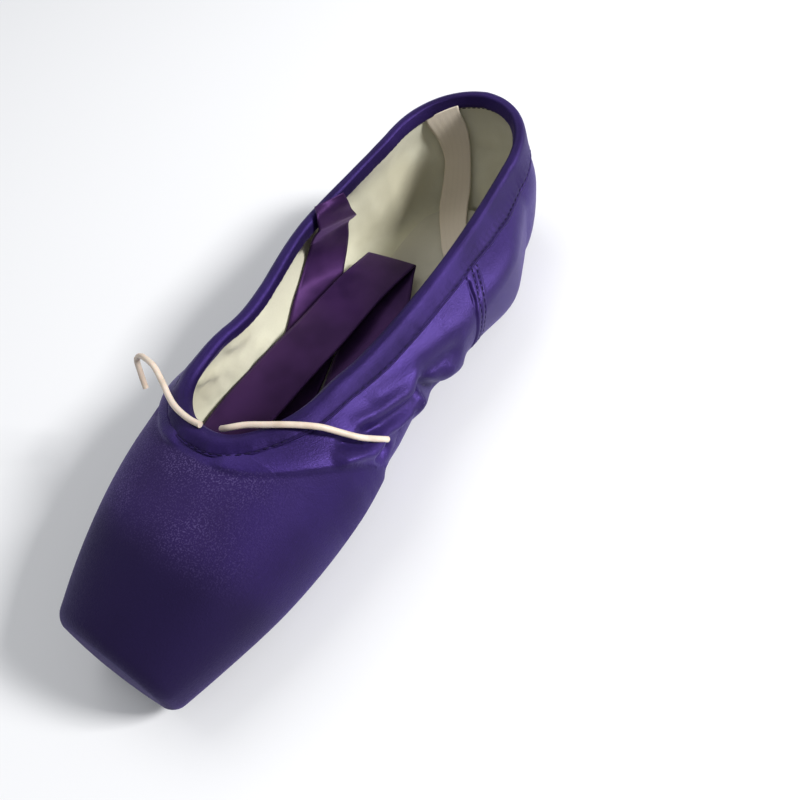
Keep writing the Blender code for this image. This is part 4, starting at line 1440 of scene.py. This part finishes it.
class StitchRows:
    """Machine stitches along lines, laid by Geometry Nodes."""

    GIVEN = (("Line", "Geometry"), ("Pitch", "Float"), ("Stitch Length", "Float"), ("Thread Width", "Float"),
             ("Seed", "Int"), ("Thread", "Material"))
    NODES = {"given": "NodeGroupInput", "made": "NodeGroupOutput", "curve": "GeometryNodeMeshToCurve",
             "spaced": "GeometryNodeResampleCurve", "ball": "GeometryNodeMeshUVSphere",
             "size": "ShaderNodeCombineXYZ", "shaped": "GeometryNodeTransform",
             "tangent": "GeometryNodeInputTangent", "turn": "FunctionNodeAlignRotationToVector",
             "laid": "GeometryNodeInstanceOnPoints", "whole": "GeometryNodeRealizeInstances",
             "uneven": "FunctionNodeRandomValue", "dyed": "GeometryNodeSetMaterial",
             "soft": "GeometryNodeSetShadeSmooth"}
    LINKS = ("given.Line > curve.Mesh", "curve.Curve > spaced.Curve", "given.Pitch > spaced.Length",
             "given.Thread Width > size.X", "given.Thread Width > size.Y", "given.Stitch Length > size.Z",
             "ball.Mesh > shaped.Geometry", "size.Vector > shaped.Scale", "tangent.Tangent > turn.Vector",
             "spaced.Curve > laid.Points", "shaped.Geometry > laid.Instance", "turn.Rotation > laid.Rotation",
             "given.Seed > uneven.Seed", "uneven.Value > laid.Scale", "laid.Instances > whole.Geometry",
             "whole.Geometry > soft.Geometry", "soft.Geometry > dyed.Geometry",
             "given.Thread > dyed.Material",
             "dyed.Geometry > made.Stitches")

    def __init__(self) -> None:
        """Builds the node tree."""
        self.tree = bpy.data.node_groups.new("stitch_rows", "GeometryNodeTree")
        for name, kind in self.GIVEN:
            self.tree.interface.new_socket(name, in_out="INPUT", socket_type="NodeSocket" + kind)
        self.tree.interface.new_socket("Stitches", in_out="OUTPUT", socket_type="NodeSocketGeometry")
        nodes = {name: self.tree.nodes.new(kind) for name, kind in self.NODES.items()}
        nodes["spaced"].mode, nodes["uneven"].data_type, nodes["turn"].axis = "LENGTH", "FLOAT", "Z"
        for name, socket, value in (("ball", "Segments", 7), ("ball", "Rings", 5), ("ball", "Radius", 0.5),
                                    ("uneven", "Min", 0.86), ("uneven", "Max", 1.12)):
            self.socket(nodes[name].inputs, socket).default_value = value
        for link in self.LINKS:
            (source, out), (target, into) = (end.split(".") for end in link.split(" > "))
            self.tree.links.new(self.socket(nodes[source].outputs, out),
                                self.socket(nodes[target].inputs, into))

    @staticmethod
    def socket(sockets: Sequence[bpy.types.NodeSocket], name: str) -> bpy.types.NodeSocket:
        """Finds a socket by its name; where several share it, the one for plain numbers."""
        named = [socket for socket in sockets if socket.name == name]
        return next((socket for socket in named if socket.type == "VALUE"), named[0])

    def sew(self, name: str, lines: Sequence[Array], thread: bpy.types.Material, pitch: float = 2.0,
            length: float = 1.5, width: float = 0.42, seed: int = 1) -> bpy.types.Object:
        """Sews rows of stitches.

        Args:
            name: The piece's name.
            lines: The rows' lines, in millimetres.
            thread: The thread's finish.
            pitch: From one stitch to the next.
            length: How much of each stitch shows.
            width: How thick the thread is.
            seed: Makes the stitches a little uneven, always in the same way.

        Returns:
            The piece, as a plain mesh.
        """
        ends = set(np.cumsum([len(line) for line in lines]).tolist())
        points = np.vstack(lines) * MM
        mesh = bpy.data.meshes.new(name + "_line")
        mesh.from_pydata(points.tolist(), [(k - 1, k) for k in range(1, len(points)) if k not in ends], [])
        carrier = hang(name + "_line", mesh)
        modifier = carrier.modifiers.new("stitches", "NODES")
        modifier.node_group = self.tree
        values = {"Pitch": pitch * MM, "Stitch Length": length * MM, "Thread Width": width * MM, "Seed": seed,
                  "Thread": thread}
        for item in self.tree.interface.items_tree:
            if item.name in values:
                modifier[item.identifier] = values[item.name]
        evaluated = carrier.evaluated_get(bpy.context.evaluated_depsgraph_get())
        result = bpy.data.meshes.new_from_object(evaluated)
        bpy.data.objects.remove(carrier)
        return hang(name, result)


def on_surface(piece: bpy.types.Object, line: Array, lift: float) -> Array:
    """Moves a line's points onto a piece, a little above it.

    Args:
        piece: The piece that the line lies on.
        line: The line's points, in millimetres.
        lift: How far above the surface they end.

    Returns:
        The moved points, in millimetres.
    """
    tree = BVHTree.FromPolygons([v.co for v in piece.data.vertices],
                                [tuple(f.vertices) for f in piece.data.polygons])
    laid = []
    for point in line * MM:
        place, normal, _, _ = tree.find_nearest(point.tolist())
        laid.append(np.array(place) / MM + np.array(normal) * lift)
    return np.array(laid)


def folded_rest(right: float, left: float, front: float, back: float, bottom: float, layers: int,
                pitch: float) -> tuple[tuple[Point, Point], ...]:
    """Rows of a ribbon that is folded to and fro into a flat stack.

    Args:
        right: X of its right edge.
        left: X of its left edge.
        front: Y of the folds towards the toe.
        back: Y of the folds towards the heel.
        bottom: Height of the first layer.
        layers: How many layers there are.
        pitch: From one layer to the next.

    Returns:
        The rows.
    """
    rows = []
    for k in range(layers):
        height = bottom + k * pitch
        start, end = (back, front) if k % 2 == 0 else (front, back)
        reach = math.copysign(pitch / 2, end - start)
        rows += [((right, y, height), (left, y, height)) for y in np.linspace(start, end, 4).tolist()]
        if k < layers - 1:
            rows.append(((right, end + reach, height + pitch / 2), (left, end + reach, height + pitch / 2)))
    return tuple(rows)


@dataclass
class Strip:
    """A ribbon or elastic: rows of its edge to the right, its edge to the left, from where it is sewn."""

    name: str
    node: str
    rows: tuple[tuple[Point, Point], ...]
    thickness: float
    held: Held
    rests_on: tuple[str, ...]
    steps: int = 8
    across: int = 16
    cup: float = 0.25
    cup_wavelength: float = 14.0
    flat_after: float = 1000.0
    flat_ease: float = 15.0
    seed: int = 1

    def build(self, finish: bpy.types.Material) -> bpy.types.Object:
        """Makes the strip as a thin closed cloth.

        Args:
            finish: The strip's material.

        Returns:
            The strip.
        """
        rows = curve_through([(*right, *left) for right, left in self.rows], self.steps)
        right, left = rows[:, :3], rows[:, 3:]
        share = np.linspace(0, 1, self.across + 1)
        middle = right[:, None] + (left - right)[:, None] * share[None, :, None]
        centre = (right + left) / 2
        along = np.gradient(centre, axis=0)
        normal = unit(np.cross(along, left - right))
        distance = along_path(centre)
        wave = self.cup * ripple(distance, self.cup_wavelength, self.seed)[:, None]
        wave = wave * (4 * share * (1 - share) - 0.5)[None, :]
        wave = wave * fall(distance, self.flat_after, self.flat_ease)[:, None]
        middle = middle + normal[:, None] * wave[..., None]
        width = float(np.linalg.norm(left - right, axis=1).mean())
        uv = np.stack(np.broadcast_arrays(share[None, :], (distance / width)[:, None]), axis=-1)
        half = normal[:, None] * self.thickness / 2
        cloth = Cloth()
        top, bottom = middle + half, middle - half
        cloth.grid(top, uv)
        cloth.grid(bottom, uv)
        for edge in ((slice(None), 0), (0,), (slice(None), -1), (-1,)):
            cloth.grid(np.stack((top[edge], bottom[edge]), axis=1), np.stack((uv[edge],) * 2, axis=1))
        piece = cloth.piece(self.name, (finish,), merge=0.005)
        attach(piece, BODY)
        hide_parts(self.node)
        return piece


@dataclass
class DrawstringEnd:
    """A free end of the drawstring: round cord along a route."""

    name: str
    node: str
    route: tuple[Point, ...]
    diameter: float = 1.9
    spacing: float = 1.6

    def build(self, finish: bpy.types.Material) -> bpy.types.Object:
        """Makes the cord and logs its length.

        Args:
            finish: The cord's material.

        Returns:
            The cord.
        """
        fine = curve_through(self.route, 20)
        length = float(along_path(fine)[-1])
        points = even_points(fine, max(5, round(length / self.spacing) + 1)) * MM
        curve = bpy.data.curves.new(self.name, "CURVE")
        curve.dimensions = "3D"
        curve.bevel_depth = self.diameter * MM / 2
        curve.bevel_resolution = 4
        curve.use_fill_caps = True
        spline = curve.splines.new("POLY")
        spline.points.add(len(points) - 1)
        for target, point in zip(spline.points, points):
            target.co = (*point, 1)
        curve.materials.append(finish)
        cord = hang(self.name, curve)
        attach(cord, BODY)
        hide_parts(self.node)
        LOG.info("%s is %.1f mm long", self.name, length)
        return cord


CORD_LEFT = ((2.0, -50.0, 49.5), (3.6, -49.9, 50.6), (5.9, -49.0, 51.5), (9.5, -46.6, 51.65),
             (14.3, -44.2, 51.5), (18.8, -41.7, 51.0), (22.6, -39.2, 49.7), (27.0, -36.3, 47.4),
             (30.2, -34.0, 43.8), (34.3, -31.2, 39.6), (36.4, -28.6, 36.4), (38.2, -24.8, 31.6))
CORD_RIGHT = ((-2.0, -52.8, 52.9), (-6.0, -52.8, 52.9), (-10.5, -52.1, 52.8), (-15.0, -50.8, 52.2),
              (-19.6, -48.8, 51.5), (-24.5, -46.1, 51.5), (-29.8, -43.3, 52.8), (-33.0, -42.3, 52.8),
              (-36.4, -41.6, 52.2), (-39.4, -41.1, 51.2), (-41.9, -41.2, 49.5), (-43.3, -41.8, 47.5),
              (-43.2, -43.1, 43.8), (-42.8, -44.1, 41.5), (-41.6, -45.7, 38.5))
RIBBON_RIGHT = (
    ((-27.6, 37.3, 50.5), (-24.0, 49.6, 48.2)), ((-25.2, 35.0, 49.9), (-23.9, 50.6, 43.4)),
    ((-24.2, 33.4, 48.3), (-26.6, 53.8, 36.9)), ((-24.6, 32.8, 44.6), (-28.6, 57.3, 31.3)),
    ((-27.4, 33.0, 41.4), (-29.7, 58.5, 29.4)), ((-29.8, 33.1, 38.4), (-31.0, 57.5, 28.2)),
    ((-32.2, 33.4, 35.0), (-32.8, 56.3, 26.4)), ((-34.4, 35.0, 32.0), (-33.2, 54.6, 21.0)),
    ((-36.5, 33.3, 27.1), (-33.9, 51.6, 14.8)), ((-36.1, 25.6, 22.1), (-31.2, 43.4, 10.8)),
    ((-34.8, 17.6, 19.0), (-24.4, 34.6, 11.2)), ((-31.8, 7.1, 15.2), (-14.8, 20.2, 11.6)),
    ((-30.1, -2.7, 13.4), (-9.9, 4.4, 10.4)), ((-28.4, -15.0, 10.8), (-6.6, -12.2, 8.6)),
    ((-26.5, -30.0, 8.8), (-4.5, -30.0, 7.7)), ((-25.0, -42.0, 8.9), (-3.0, -42.0, 8.4)),
)
RIBBON_LEFT = (
    ((25.0, 60.6, 37.3), (28.6, 38.8, 37.2)), ((33.0, 57.5, 23.2), (33.9, 37.8, 32.2)),
    ((33.8, 51.8, 14.2), (36.3, 33.3, 25.5)), ((31.2, 43.0, 10.8), (36.0, 25.6, 21.6)),
    ((24.2, 34.0, 11.0), (34.7, 17.6, 18.6)), ((15.5, 20.3, 11.2), (31.7, 7.1, 15.0)),
    ((10.5, 5.2, 10.2), (29.7, -3.0, 12.6)), ((5.8, -12.5, 8.4), (27.5, -16.0, 9.6)),
    ((3.2, -31.0, 7.6), (25.2, -32.0, 8.0)), ((2.4, -50.0, 8.2), (24.4, -50.0, 8.4)),
    ((2.2, -70.0, 9.0), (24.2, -70.0, 9.0)), ((2.0, -84.0, 9.1), (24.0, -84.0, 9.1)),
    ((2.0, -87.5, 10.3), (24.0, -87.5, 10.3)), ((2.0, -84.0, 11.5), (24.0, -84.0, 11.5)),
    ((2.2, -62.0, 11.0), (24.2, -62.0, 11.2)), ((2.0, -40.5, 10.2), (24.0, -40.0, 10.6)),
    ((-1.5, -21.0, 10.6), (20.3, -17.5, 11.2)), ((-8.1, 3.3, 12.0), (12.0, 12.3, 12.6)),
    ((-15.1, 26.3, 12.6), (5.0, 35.3, 11.9)), ((-23.3, 49.5, 12.4), (-2.0, 51.5, 12.0)),
    ((-25.2, 55.1, 13.6), (-3.4, 56.0, 13.2)), ((-25.4, 51.2, 14.8), (-3.4, 52.3, 14.4)),
    ((-26.5, 37.0, 16.6), (-4.7, 33.5, 16.4)), ((-26.3, 22.6, 18.5), (-4.4, 20.6, 18.2)),
    ((-27.6, 8.3, 18.2), (-5.5, 6.5, 17.8)), ((-31.0, -17.2, 17.4), (-9.2, -17.5, 15.8)),
    ((-32.4, -41.5, 16.0), (-11.0, -41.0, 14.2)), ((-28.3, -60.0, 15.0), (-6.5, -60.0, 14.3)),
    ((-26.0, -80.0, 14.6), (-4.0, -80.0, 14.4)),
)
HEEL_ELASTIC = (
    ((-20.6, 101.4, 45.4), (-10.2, 110.4, 47.2)), ((-20.0, 102.2, 41.8), (-9.8, 110.7, 43.8)),
    ((-18.2, 105.7, 32.6), (-7.8, 111.5, 36.5)), ((-17.2, 106.3, 22.5), (-7.0, 110.7, 26.3)),
    ((-17.2, 101.4, 12.2), (-5.4, 104.9, 12.8)), ((-15.0, 94.0, 7.9), (-3.4, 97.6, 8.1)),
    ((-8.9, 83.5, 7.6), (3.2, 84.8, 7.8)), ((3.0, 67.5, 7.8), (13.3, 74.4, 8.0)),
    ((19.5, 63.0, 9.0), (19.0, 75.4, 9.2)), ((27.4, 65.0, 13.5), (25.8, 77.6, 14.0)),
    ((31.1, 66.6, 24.0), (28.2, 79.0, 24.0)), ((26.2, 68.0, 35.8), (25.0, 80.6, 35.6)),
)
BOX_EDGE = ((0.0, -60.3, 49.9), (5.0, -60.2, 49.5), (10.0, -59.5, 48.8), (15.0, -57.9, 47.6),
            (20.0, -55.0, 46.0), (25.5, -50.4, 43.8), (31.0, -44.2, 40.2), (34.8, -38.5, 35.9),
            (36.6, -34.0, 30.4), (37.4, -29.0, 21.2), (35.0, -24.0, 10.0), (24.0, -20.0, 4.0),
            (10.0, -18.0, 2.5))
FRONT_FOLDS = (
    Fold((*BOX_EDGE[1:8], (36.5, -35.0, 31.5), (37.3, -31.5, 25.0)), 1.2, 6.0, 0.9, 6.0, 4.0),
    Fold(((36.0, -36.5, 31.4), (37.0, -32.8, 27.0), (37.7, -29.5, 22.6), (37.8, -27.4, 21.4),
          (37.5, -23.5, 22.2), (37.1, -19.0, 24.2), (36.8, -15.5, 26.0)), 0.7, 0.7, 0.0, 3.0, 2.0),
    Fold(((31.5, -42.5, 39.7), (33.8, -38.6, 37.2), (35.4, -34.2, 34.8), (36.3, -30.5, 32.5),
          (36.4, -26.5, 31.6), (36.2, -22.5, 31.2), (36.5, -17.5, 28.5), (36.6, -13.0, 26.5),
          (36.6, -8.0, 24.6), (36.6, -1.5, 22.6)), 2.4,
         3.0, 1.5, 5.0, 3.0),
    Fold(((28.5, -36.5, 41.5), (31.4, -34.6, 39.6), (34.0, -32.0, 36.8), (35.4, -29.0, 34.6)), -1.7, 1.7,
         0.0, 4.0, 3.0),
    Fold(((31.5, -31.5, 38.8), (33.6, -27.3, 36.5), (34.8, -24.3, 34.6), (35.6, -18.5, 31.9),
          (36.2, -12.0, 29.0), (36.5, -6.5, 27.2), (36.7, -2.5, 25.8)), -2.8, 2.2, 3.0, 7.0, 4.0),
    Fold(((36.8, -32.5, 31.0), (37.3, -30.0, 27.5), (37.3, -26.6, 26.2), (37.1, -23.0, 28.0)), -2.4, 1.7,
         1.2, 3.0, 2.0),
    Fold(((38.2, -31.0, 15.0), (37.5, -26.0, 17.5), (37.0, -20.0, 21.0), (36.7, -13.0, 22.0),
          (36.7, -6.0, 20.0), (36.8, 0.0, 18.0)), -3.4, 2.0, 9.0, 6.0, 3.0),
    Fold(((29.5, -30.5, 40.5), (32.1, -24.9, 38.2), (34.0, -15.5, 34.7), (35.4, -8.6, 32.1),
          (36.5, -3.4, 29.7)), 0.9,
         2.4),
    Fold(((31.0, -20.5, 40.8), (32.8, -12.0, 38.4), (34.6, -3.0, 36.2), (36.2, 6.0, 34.4)), -0.8, 3.0, 3.6,
         6.0, 8.0),
)
QUARTER_FOLDS = (
    Fold(((35.6, -4.5, 32.0), (37.0, -1.0, 26.5), (37.2, 2.0, 20.5), (36.0, 7.5, 12.0), (34.0, 12.0, 8.0)),
         -5.0, 3.0),
    Fold(((35.6, -2.5, 31.8), (36.8, 3.0, 29.8), (37.8, 9.0, 28.0), (38.8, 15.0, 26.0), (39.2, 19.0, 24.0)),
         -2.3, 5.0, 2.4),
    Fold(((37.6, 6.5, 25.0), (38.0, 11.0, 22.0), (38.0, 16.0, 18.0), (37.0, 21.0, 14.0)), 2.0, 3.8),
    Fold(((33.0, 14.0, 36.0), (36.0, 22.0, 32.0), (38.5, 29.0, 26.0)), 0.5, 5.0),
    Fold(((32.6, 36.7, 37.6), (35.0, 34.2, 35.8), (37.1, 32.4, 33.8), (38.7, 29.8, 31.5), (39.8, 28.0, 26.8),
          (38.9, 26.7, 20.0), (37.1, 24.9, 15.9), (35.0, 23.4, 10.0)), -1.0, 0.45, 0.0, 1.5, 3.0),
)
LINING_CREASES = (
    Fold(((-36.2, -36.0, 28.5), (-35.9, -29.2, 26.8), (-35.5, -23.9, 23.5), (-34.7, -17.8, 20.4),
          (-33.9, -11.4, 18.4), (-33.3, -4.0, 16.5), (-32.8, 2.2, 15.0)), -2.0, 2.6, 1.4, 5.0, 5.0),
    Fold(((-36.5, -35.8, 21.8), (-35.9, -30.5, 19.6), (-34.9, -24.9, 17.4), (-33.8, -18.4, 15.8),
          (-33.1, -10.9, 14.8)), -1.5, 2.2, 1.2, 5.0, 5.0),
    Fold(((-34.5, -20.0, 31.0), (-35.0, -12.0, 27.0), (-35.0, -3.0, 24.0)), -1.3, 3.4, 1.6, 5.0, 5.0),
    Fold(((-33.0, -10.0, 34.0), (-34.5, 0.0, 29.0), (-35.0, 10.0, 26.0)), 1.0, 3.4, 1.8, 5.0, 5.0),
    Fold(((-35.5, 57.5, 20.0), (-33.5, 66.0, 17.0), (-29.0, 75.0, 14.0), (-22.0, 83.0, 11.0)),
         -1.3, 2.6, 1.4, 5.0, 5.0),
    Fold(((-27.0, 60.0, 42.0), (-31.0, 66.0, 31.0), (-30.0, 76.0, 19.0)), -0.6, 6.0, 4.0, 5.0, 5.0),
)
SEAM_ROWS = (
    ((32.1, 40.5, 37.7), (35.3, 37.1, 35.4), (38.0, 33.6, 32.7), (39.5, 31.8, 29.6), (39.8, 30.1, 25.0),
     (39.3, 29.4, 20.5), (37.4, 27.8, 14.5)),
    ((32.4, 43.0, 37.3), (35.3, 39.6, 35.4), (37.8, 37.0, 33.1), (39.5, 34.4, 30.2), (39.8, 32.6, 25.0),
     (39.4, 31.8, 20.5), (37.6, 30.2, 14.5)),
)
SEAM_GROOVES = tuple(Fold(row, -0.3, 0.5, 0.0, 1.0, 2.0) for row in SEAM_ROWS)


def mirrored(fold: Fold) -> Fold:
    """The same fold on the other side of the shoe."""
    return replace(fold, line=mirror(fold.line, -1))


@dataclass
class Studio:
    """A pale floor, soft lights and the camera."""

    azimuth: float = 45.751
    elevation: float = 53.698
    roll: float = -17.442
    camera_at: Point = (121.29, -96.04, 197.17)
    lens: float = 30.153
    floor_size: float = 6.0
    sky: tuple[float, ...] = (0.93, 0.96, 1.0, 1)
    sky_strength: float = 0.37

    def camera(self) -> None:
        """Puts the camera where the photograph was taken."""
        a, e, r = (math.radians(v) for v in (self.azimuth, self.elevation, self.roll))
        back = np.array((math.sin(a) * math.cos(e), -math.cos(a) * math.cos(e), math.sin(e)))
        right = np.array((math.cos(a), math.sin(a), 0))
        up = np.cross(back, right)
        turned = (math.cos(r) * right + math.sin(r) * up, math.cos(r) * up - math.sin(r) * right, back)
        data = bpy.data.cameras.new("camera")
        data.lens, data.sensor_width, data.clip_start = self.lens, 36, 0.01
        camera = hang("camera", data)
        camera.matrix_world = placed(turned, [v * MM for v in self.camera_at])
        bpy.context.scene.camera = camera

    @staticmethod
    def softbox(name: str, at: Point, size: float, power: float) -> None:
        """Hangs a square light that faces the shoe.

        Args:
            name: The light's name.
            at: Where it hangs.
            size: How long its sides are.
            power: Its power, in watts.
        """
        data = bpy.data.lights.new(name, "AREA")
        data.shape, data.size, data.energy = "SQUARE", size, power
        away = unit(np.array(at, float))
        side = unit(np.cross((0, 0, 1), away))
        hang(name, data).matrix_world = placed((side, np.cross(away, side), away), at)

    def floor(self) -> None:
        """Lays the floor."""
        half = self.floor_size / 2
        mesh = bpy.data.meshes.new("floor")
        mesh.from_pydata([(-half, -half, 0), (half, -half, 0), (half, half, 0), (-half, half, 0)], [],
                         [(0, 1, 2, 3)])
        mesh.materials.append(FloorPaint().make())
        hang("floor", mesh)

    def build(self) -> None:
        """Sets up the camera, the floor and the light."""
        self.camera()
        self.floor()
        world = bpy.data.worlds.new("studio")
        bpy.context.scene.world = world
        world.use_nodes = True
        sky = world.node_tree.nodes["Background"].inputs
        sky["Color"].default_value, sky["Strength"].default_value = self.sky, self.sky_strength
        self.softbox("key", (1.0, 0.5, 0.76), 0.26, 22)
        self.softbox("fill", (-0.6, 0.25, 1.2), 0.8, 5)
        bpy.context.scene.view_settings.view_transform = "Standard"


def dress(piece: bpy.types.Object, slot: str, *nodes: str) -> None:
    """Lets a piece ride on the shoe in place of its nodes, and logs it.

    Args:
        piece: The finished piece.
        slot: The material slot of the record that it belongs to; not used.
        nodes: The solids that it stands for; none for an extra piece.
    """
    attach(piece, BODY)
    if nodes:
        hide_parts(*nodes)
    LOG.info("%s: %d faces", piece.name, len(piece.data.polygons))


def main() -> None:
    """Builds the shoe over its frame, piece by piece."""
    logging.basicConfig(level=logging.INFO, format="%(message)s")
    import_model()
    Studio().build()
    cord_finish = WaxedCord().make()
    DrawstringEnd("left_cord_end", "drawstring_left_end", CORD_LEFT).build(cord_finish)
    DrawstringEnd("right_cord_end", "drawstring_right_end", CORD_RIGHT).build(cord_finish)

    satin = Satin("violet_satin").make()
    lining = Cotton("lining_cotton").make()
    folds = {Side.LEFT: FRONT_FOLDS + QUARTER_FOLDS + SEAM_GROOVES,
             Side.RIGHT: tuple(mirrored(fold) for fold in FRONT_FOLDS[:1] + QUARTER_FOLDS[-1:]
                               + SEAM_GROOVES)}
    upper = Upper(folds=folds, lining_folds={Side.RIGHT: LINING_CREASES}).build(satin, lining)
    dress(upper, "satin", "upper")
    casing = Casing()
    # painted shade: the binding is a darker copy of the upper's satin
    binding = Satin("violet_binding_satin", (0.010, 0.006, 0.030), (0.022, 0.012, 0.074),
                    roughness=0.48).make()
    dress(casing.build(binding), "casing_satin", "drawstring_casing")
    rows = StitchRows()
    violet = Thread("violet_thread", (0.010, 0.006, 0.030)).make()
    outer, inner = casing.stitch_lines()
    dress(rows.sew("casing_stitches", [outer], violet, pitch=casing.pitch, length=1.8), "casing_satin")
    inner = on_surface(upper, inner, lift=0.08)
    dress(rows.sew("lining_stitches", [inner], violet, width=0.34, seed=2), "casing_satin")
    seams = [mirror(row, sign) for row in SEAM_ROWS for sign in (1, -1)]
    lines = [on_surface(upper, even_points(curve_through(line, 6), 24), lift=0.05) for line in seams]
    dress(rows.sew("side_seam_stitches", lines, violet, seed=3), "satin")
    plum = RibbonSatin().make()
    rest = folded_rest(right=-24.2, left=-2.2, front=-81.5, back=-52.0, bottom=8.35, layers=9, pitch=0.54)
    Strip("plum_ribbon_right", "ribbon_right", RIBBON_RIGHT + rest, 0.36, Held.FOLDED, ("insole", "upper"),
          flat_after=95.0, seed=3).build(plum)
    Strip("plum_ribbon_left", "ribbon_left", RIBBON_LEFT, 0.4, Held.FOLDED, ("insole", "upper"),
          seed=5).build(plum)
    Strip("heel_strap", "heel_elastic", HEEL_ELASTIC, 0.9, Held.HUNG, ("insole", "upper"), seed=7).build(
        Elastic().make())
    outsole = FlatPiece("leather_outsole", "sole", back=16.6, start=25.0, reach=10.0, thickness=2.2,
                        rounding=0.8,
                        above=-2.5)
    dress(outsole.build(Leather().make()), "sole_leather", "outsole")
    sock = FlatPiece("cotton_sock", "tread", back=16.0, start=15.0, reach=9.0, thickness=1.6, rounding=0.7,
                     above=0.3, extra=0.5, dish=0.25)
    # painted shade: the sock's cotton is a darker copy of the lining's
    dress(sock.build(Cotton("sock_cotton", (0.60, 0.57, 0.46), (0.44, 0.42, 0.33)).make()), "sock_cotton",
          "insole")


if __name__ == "__main__":
    main()
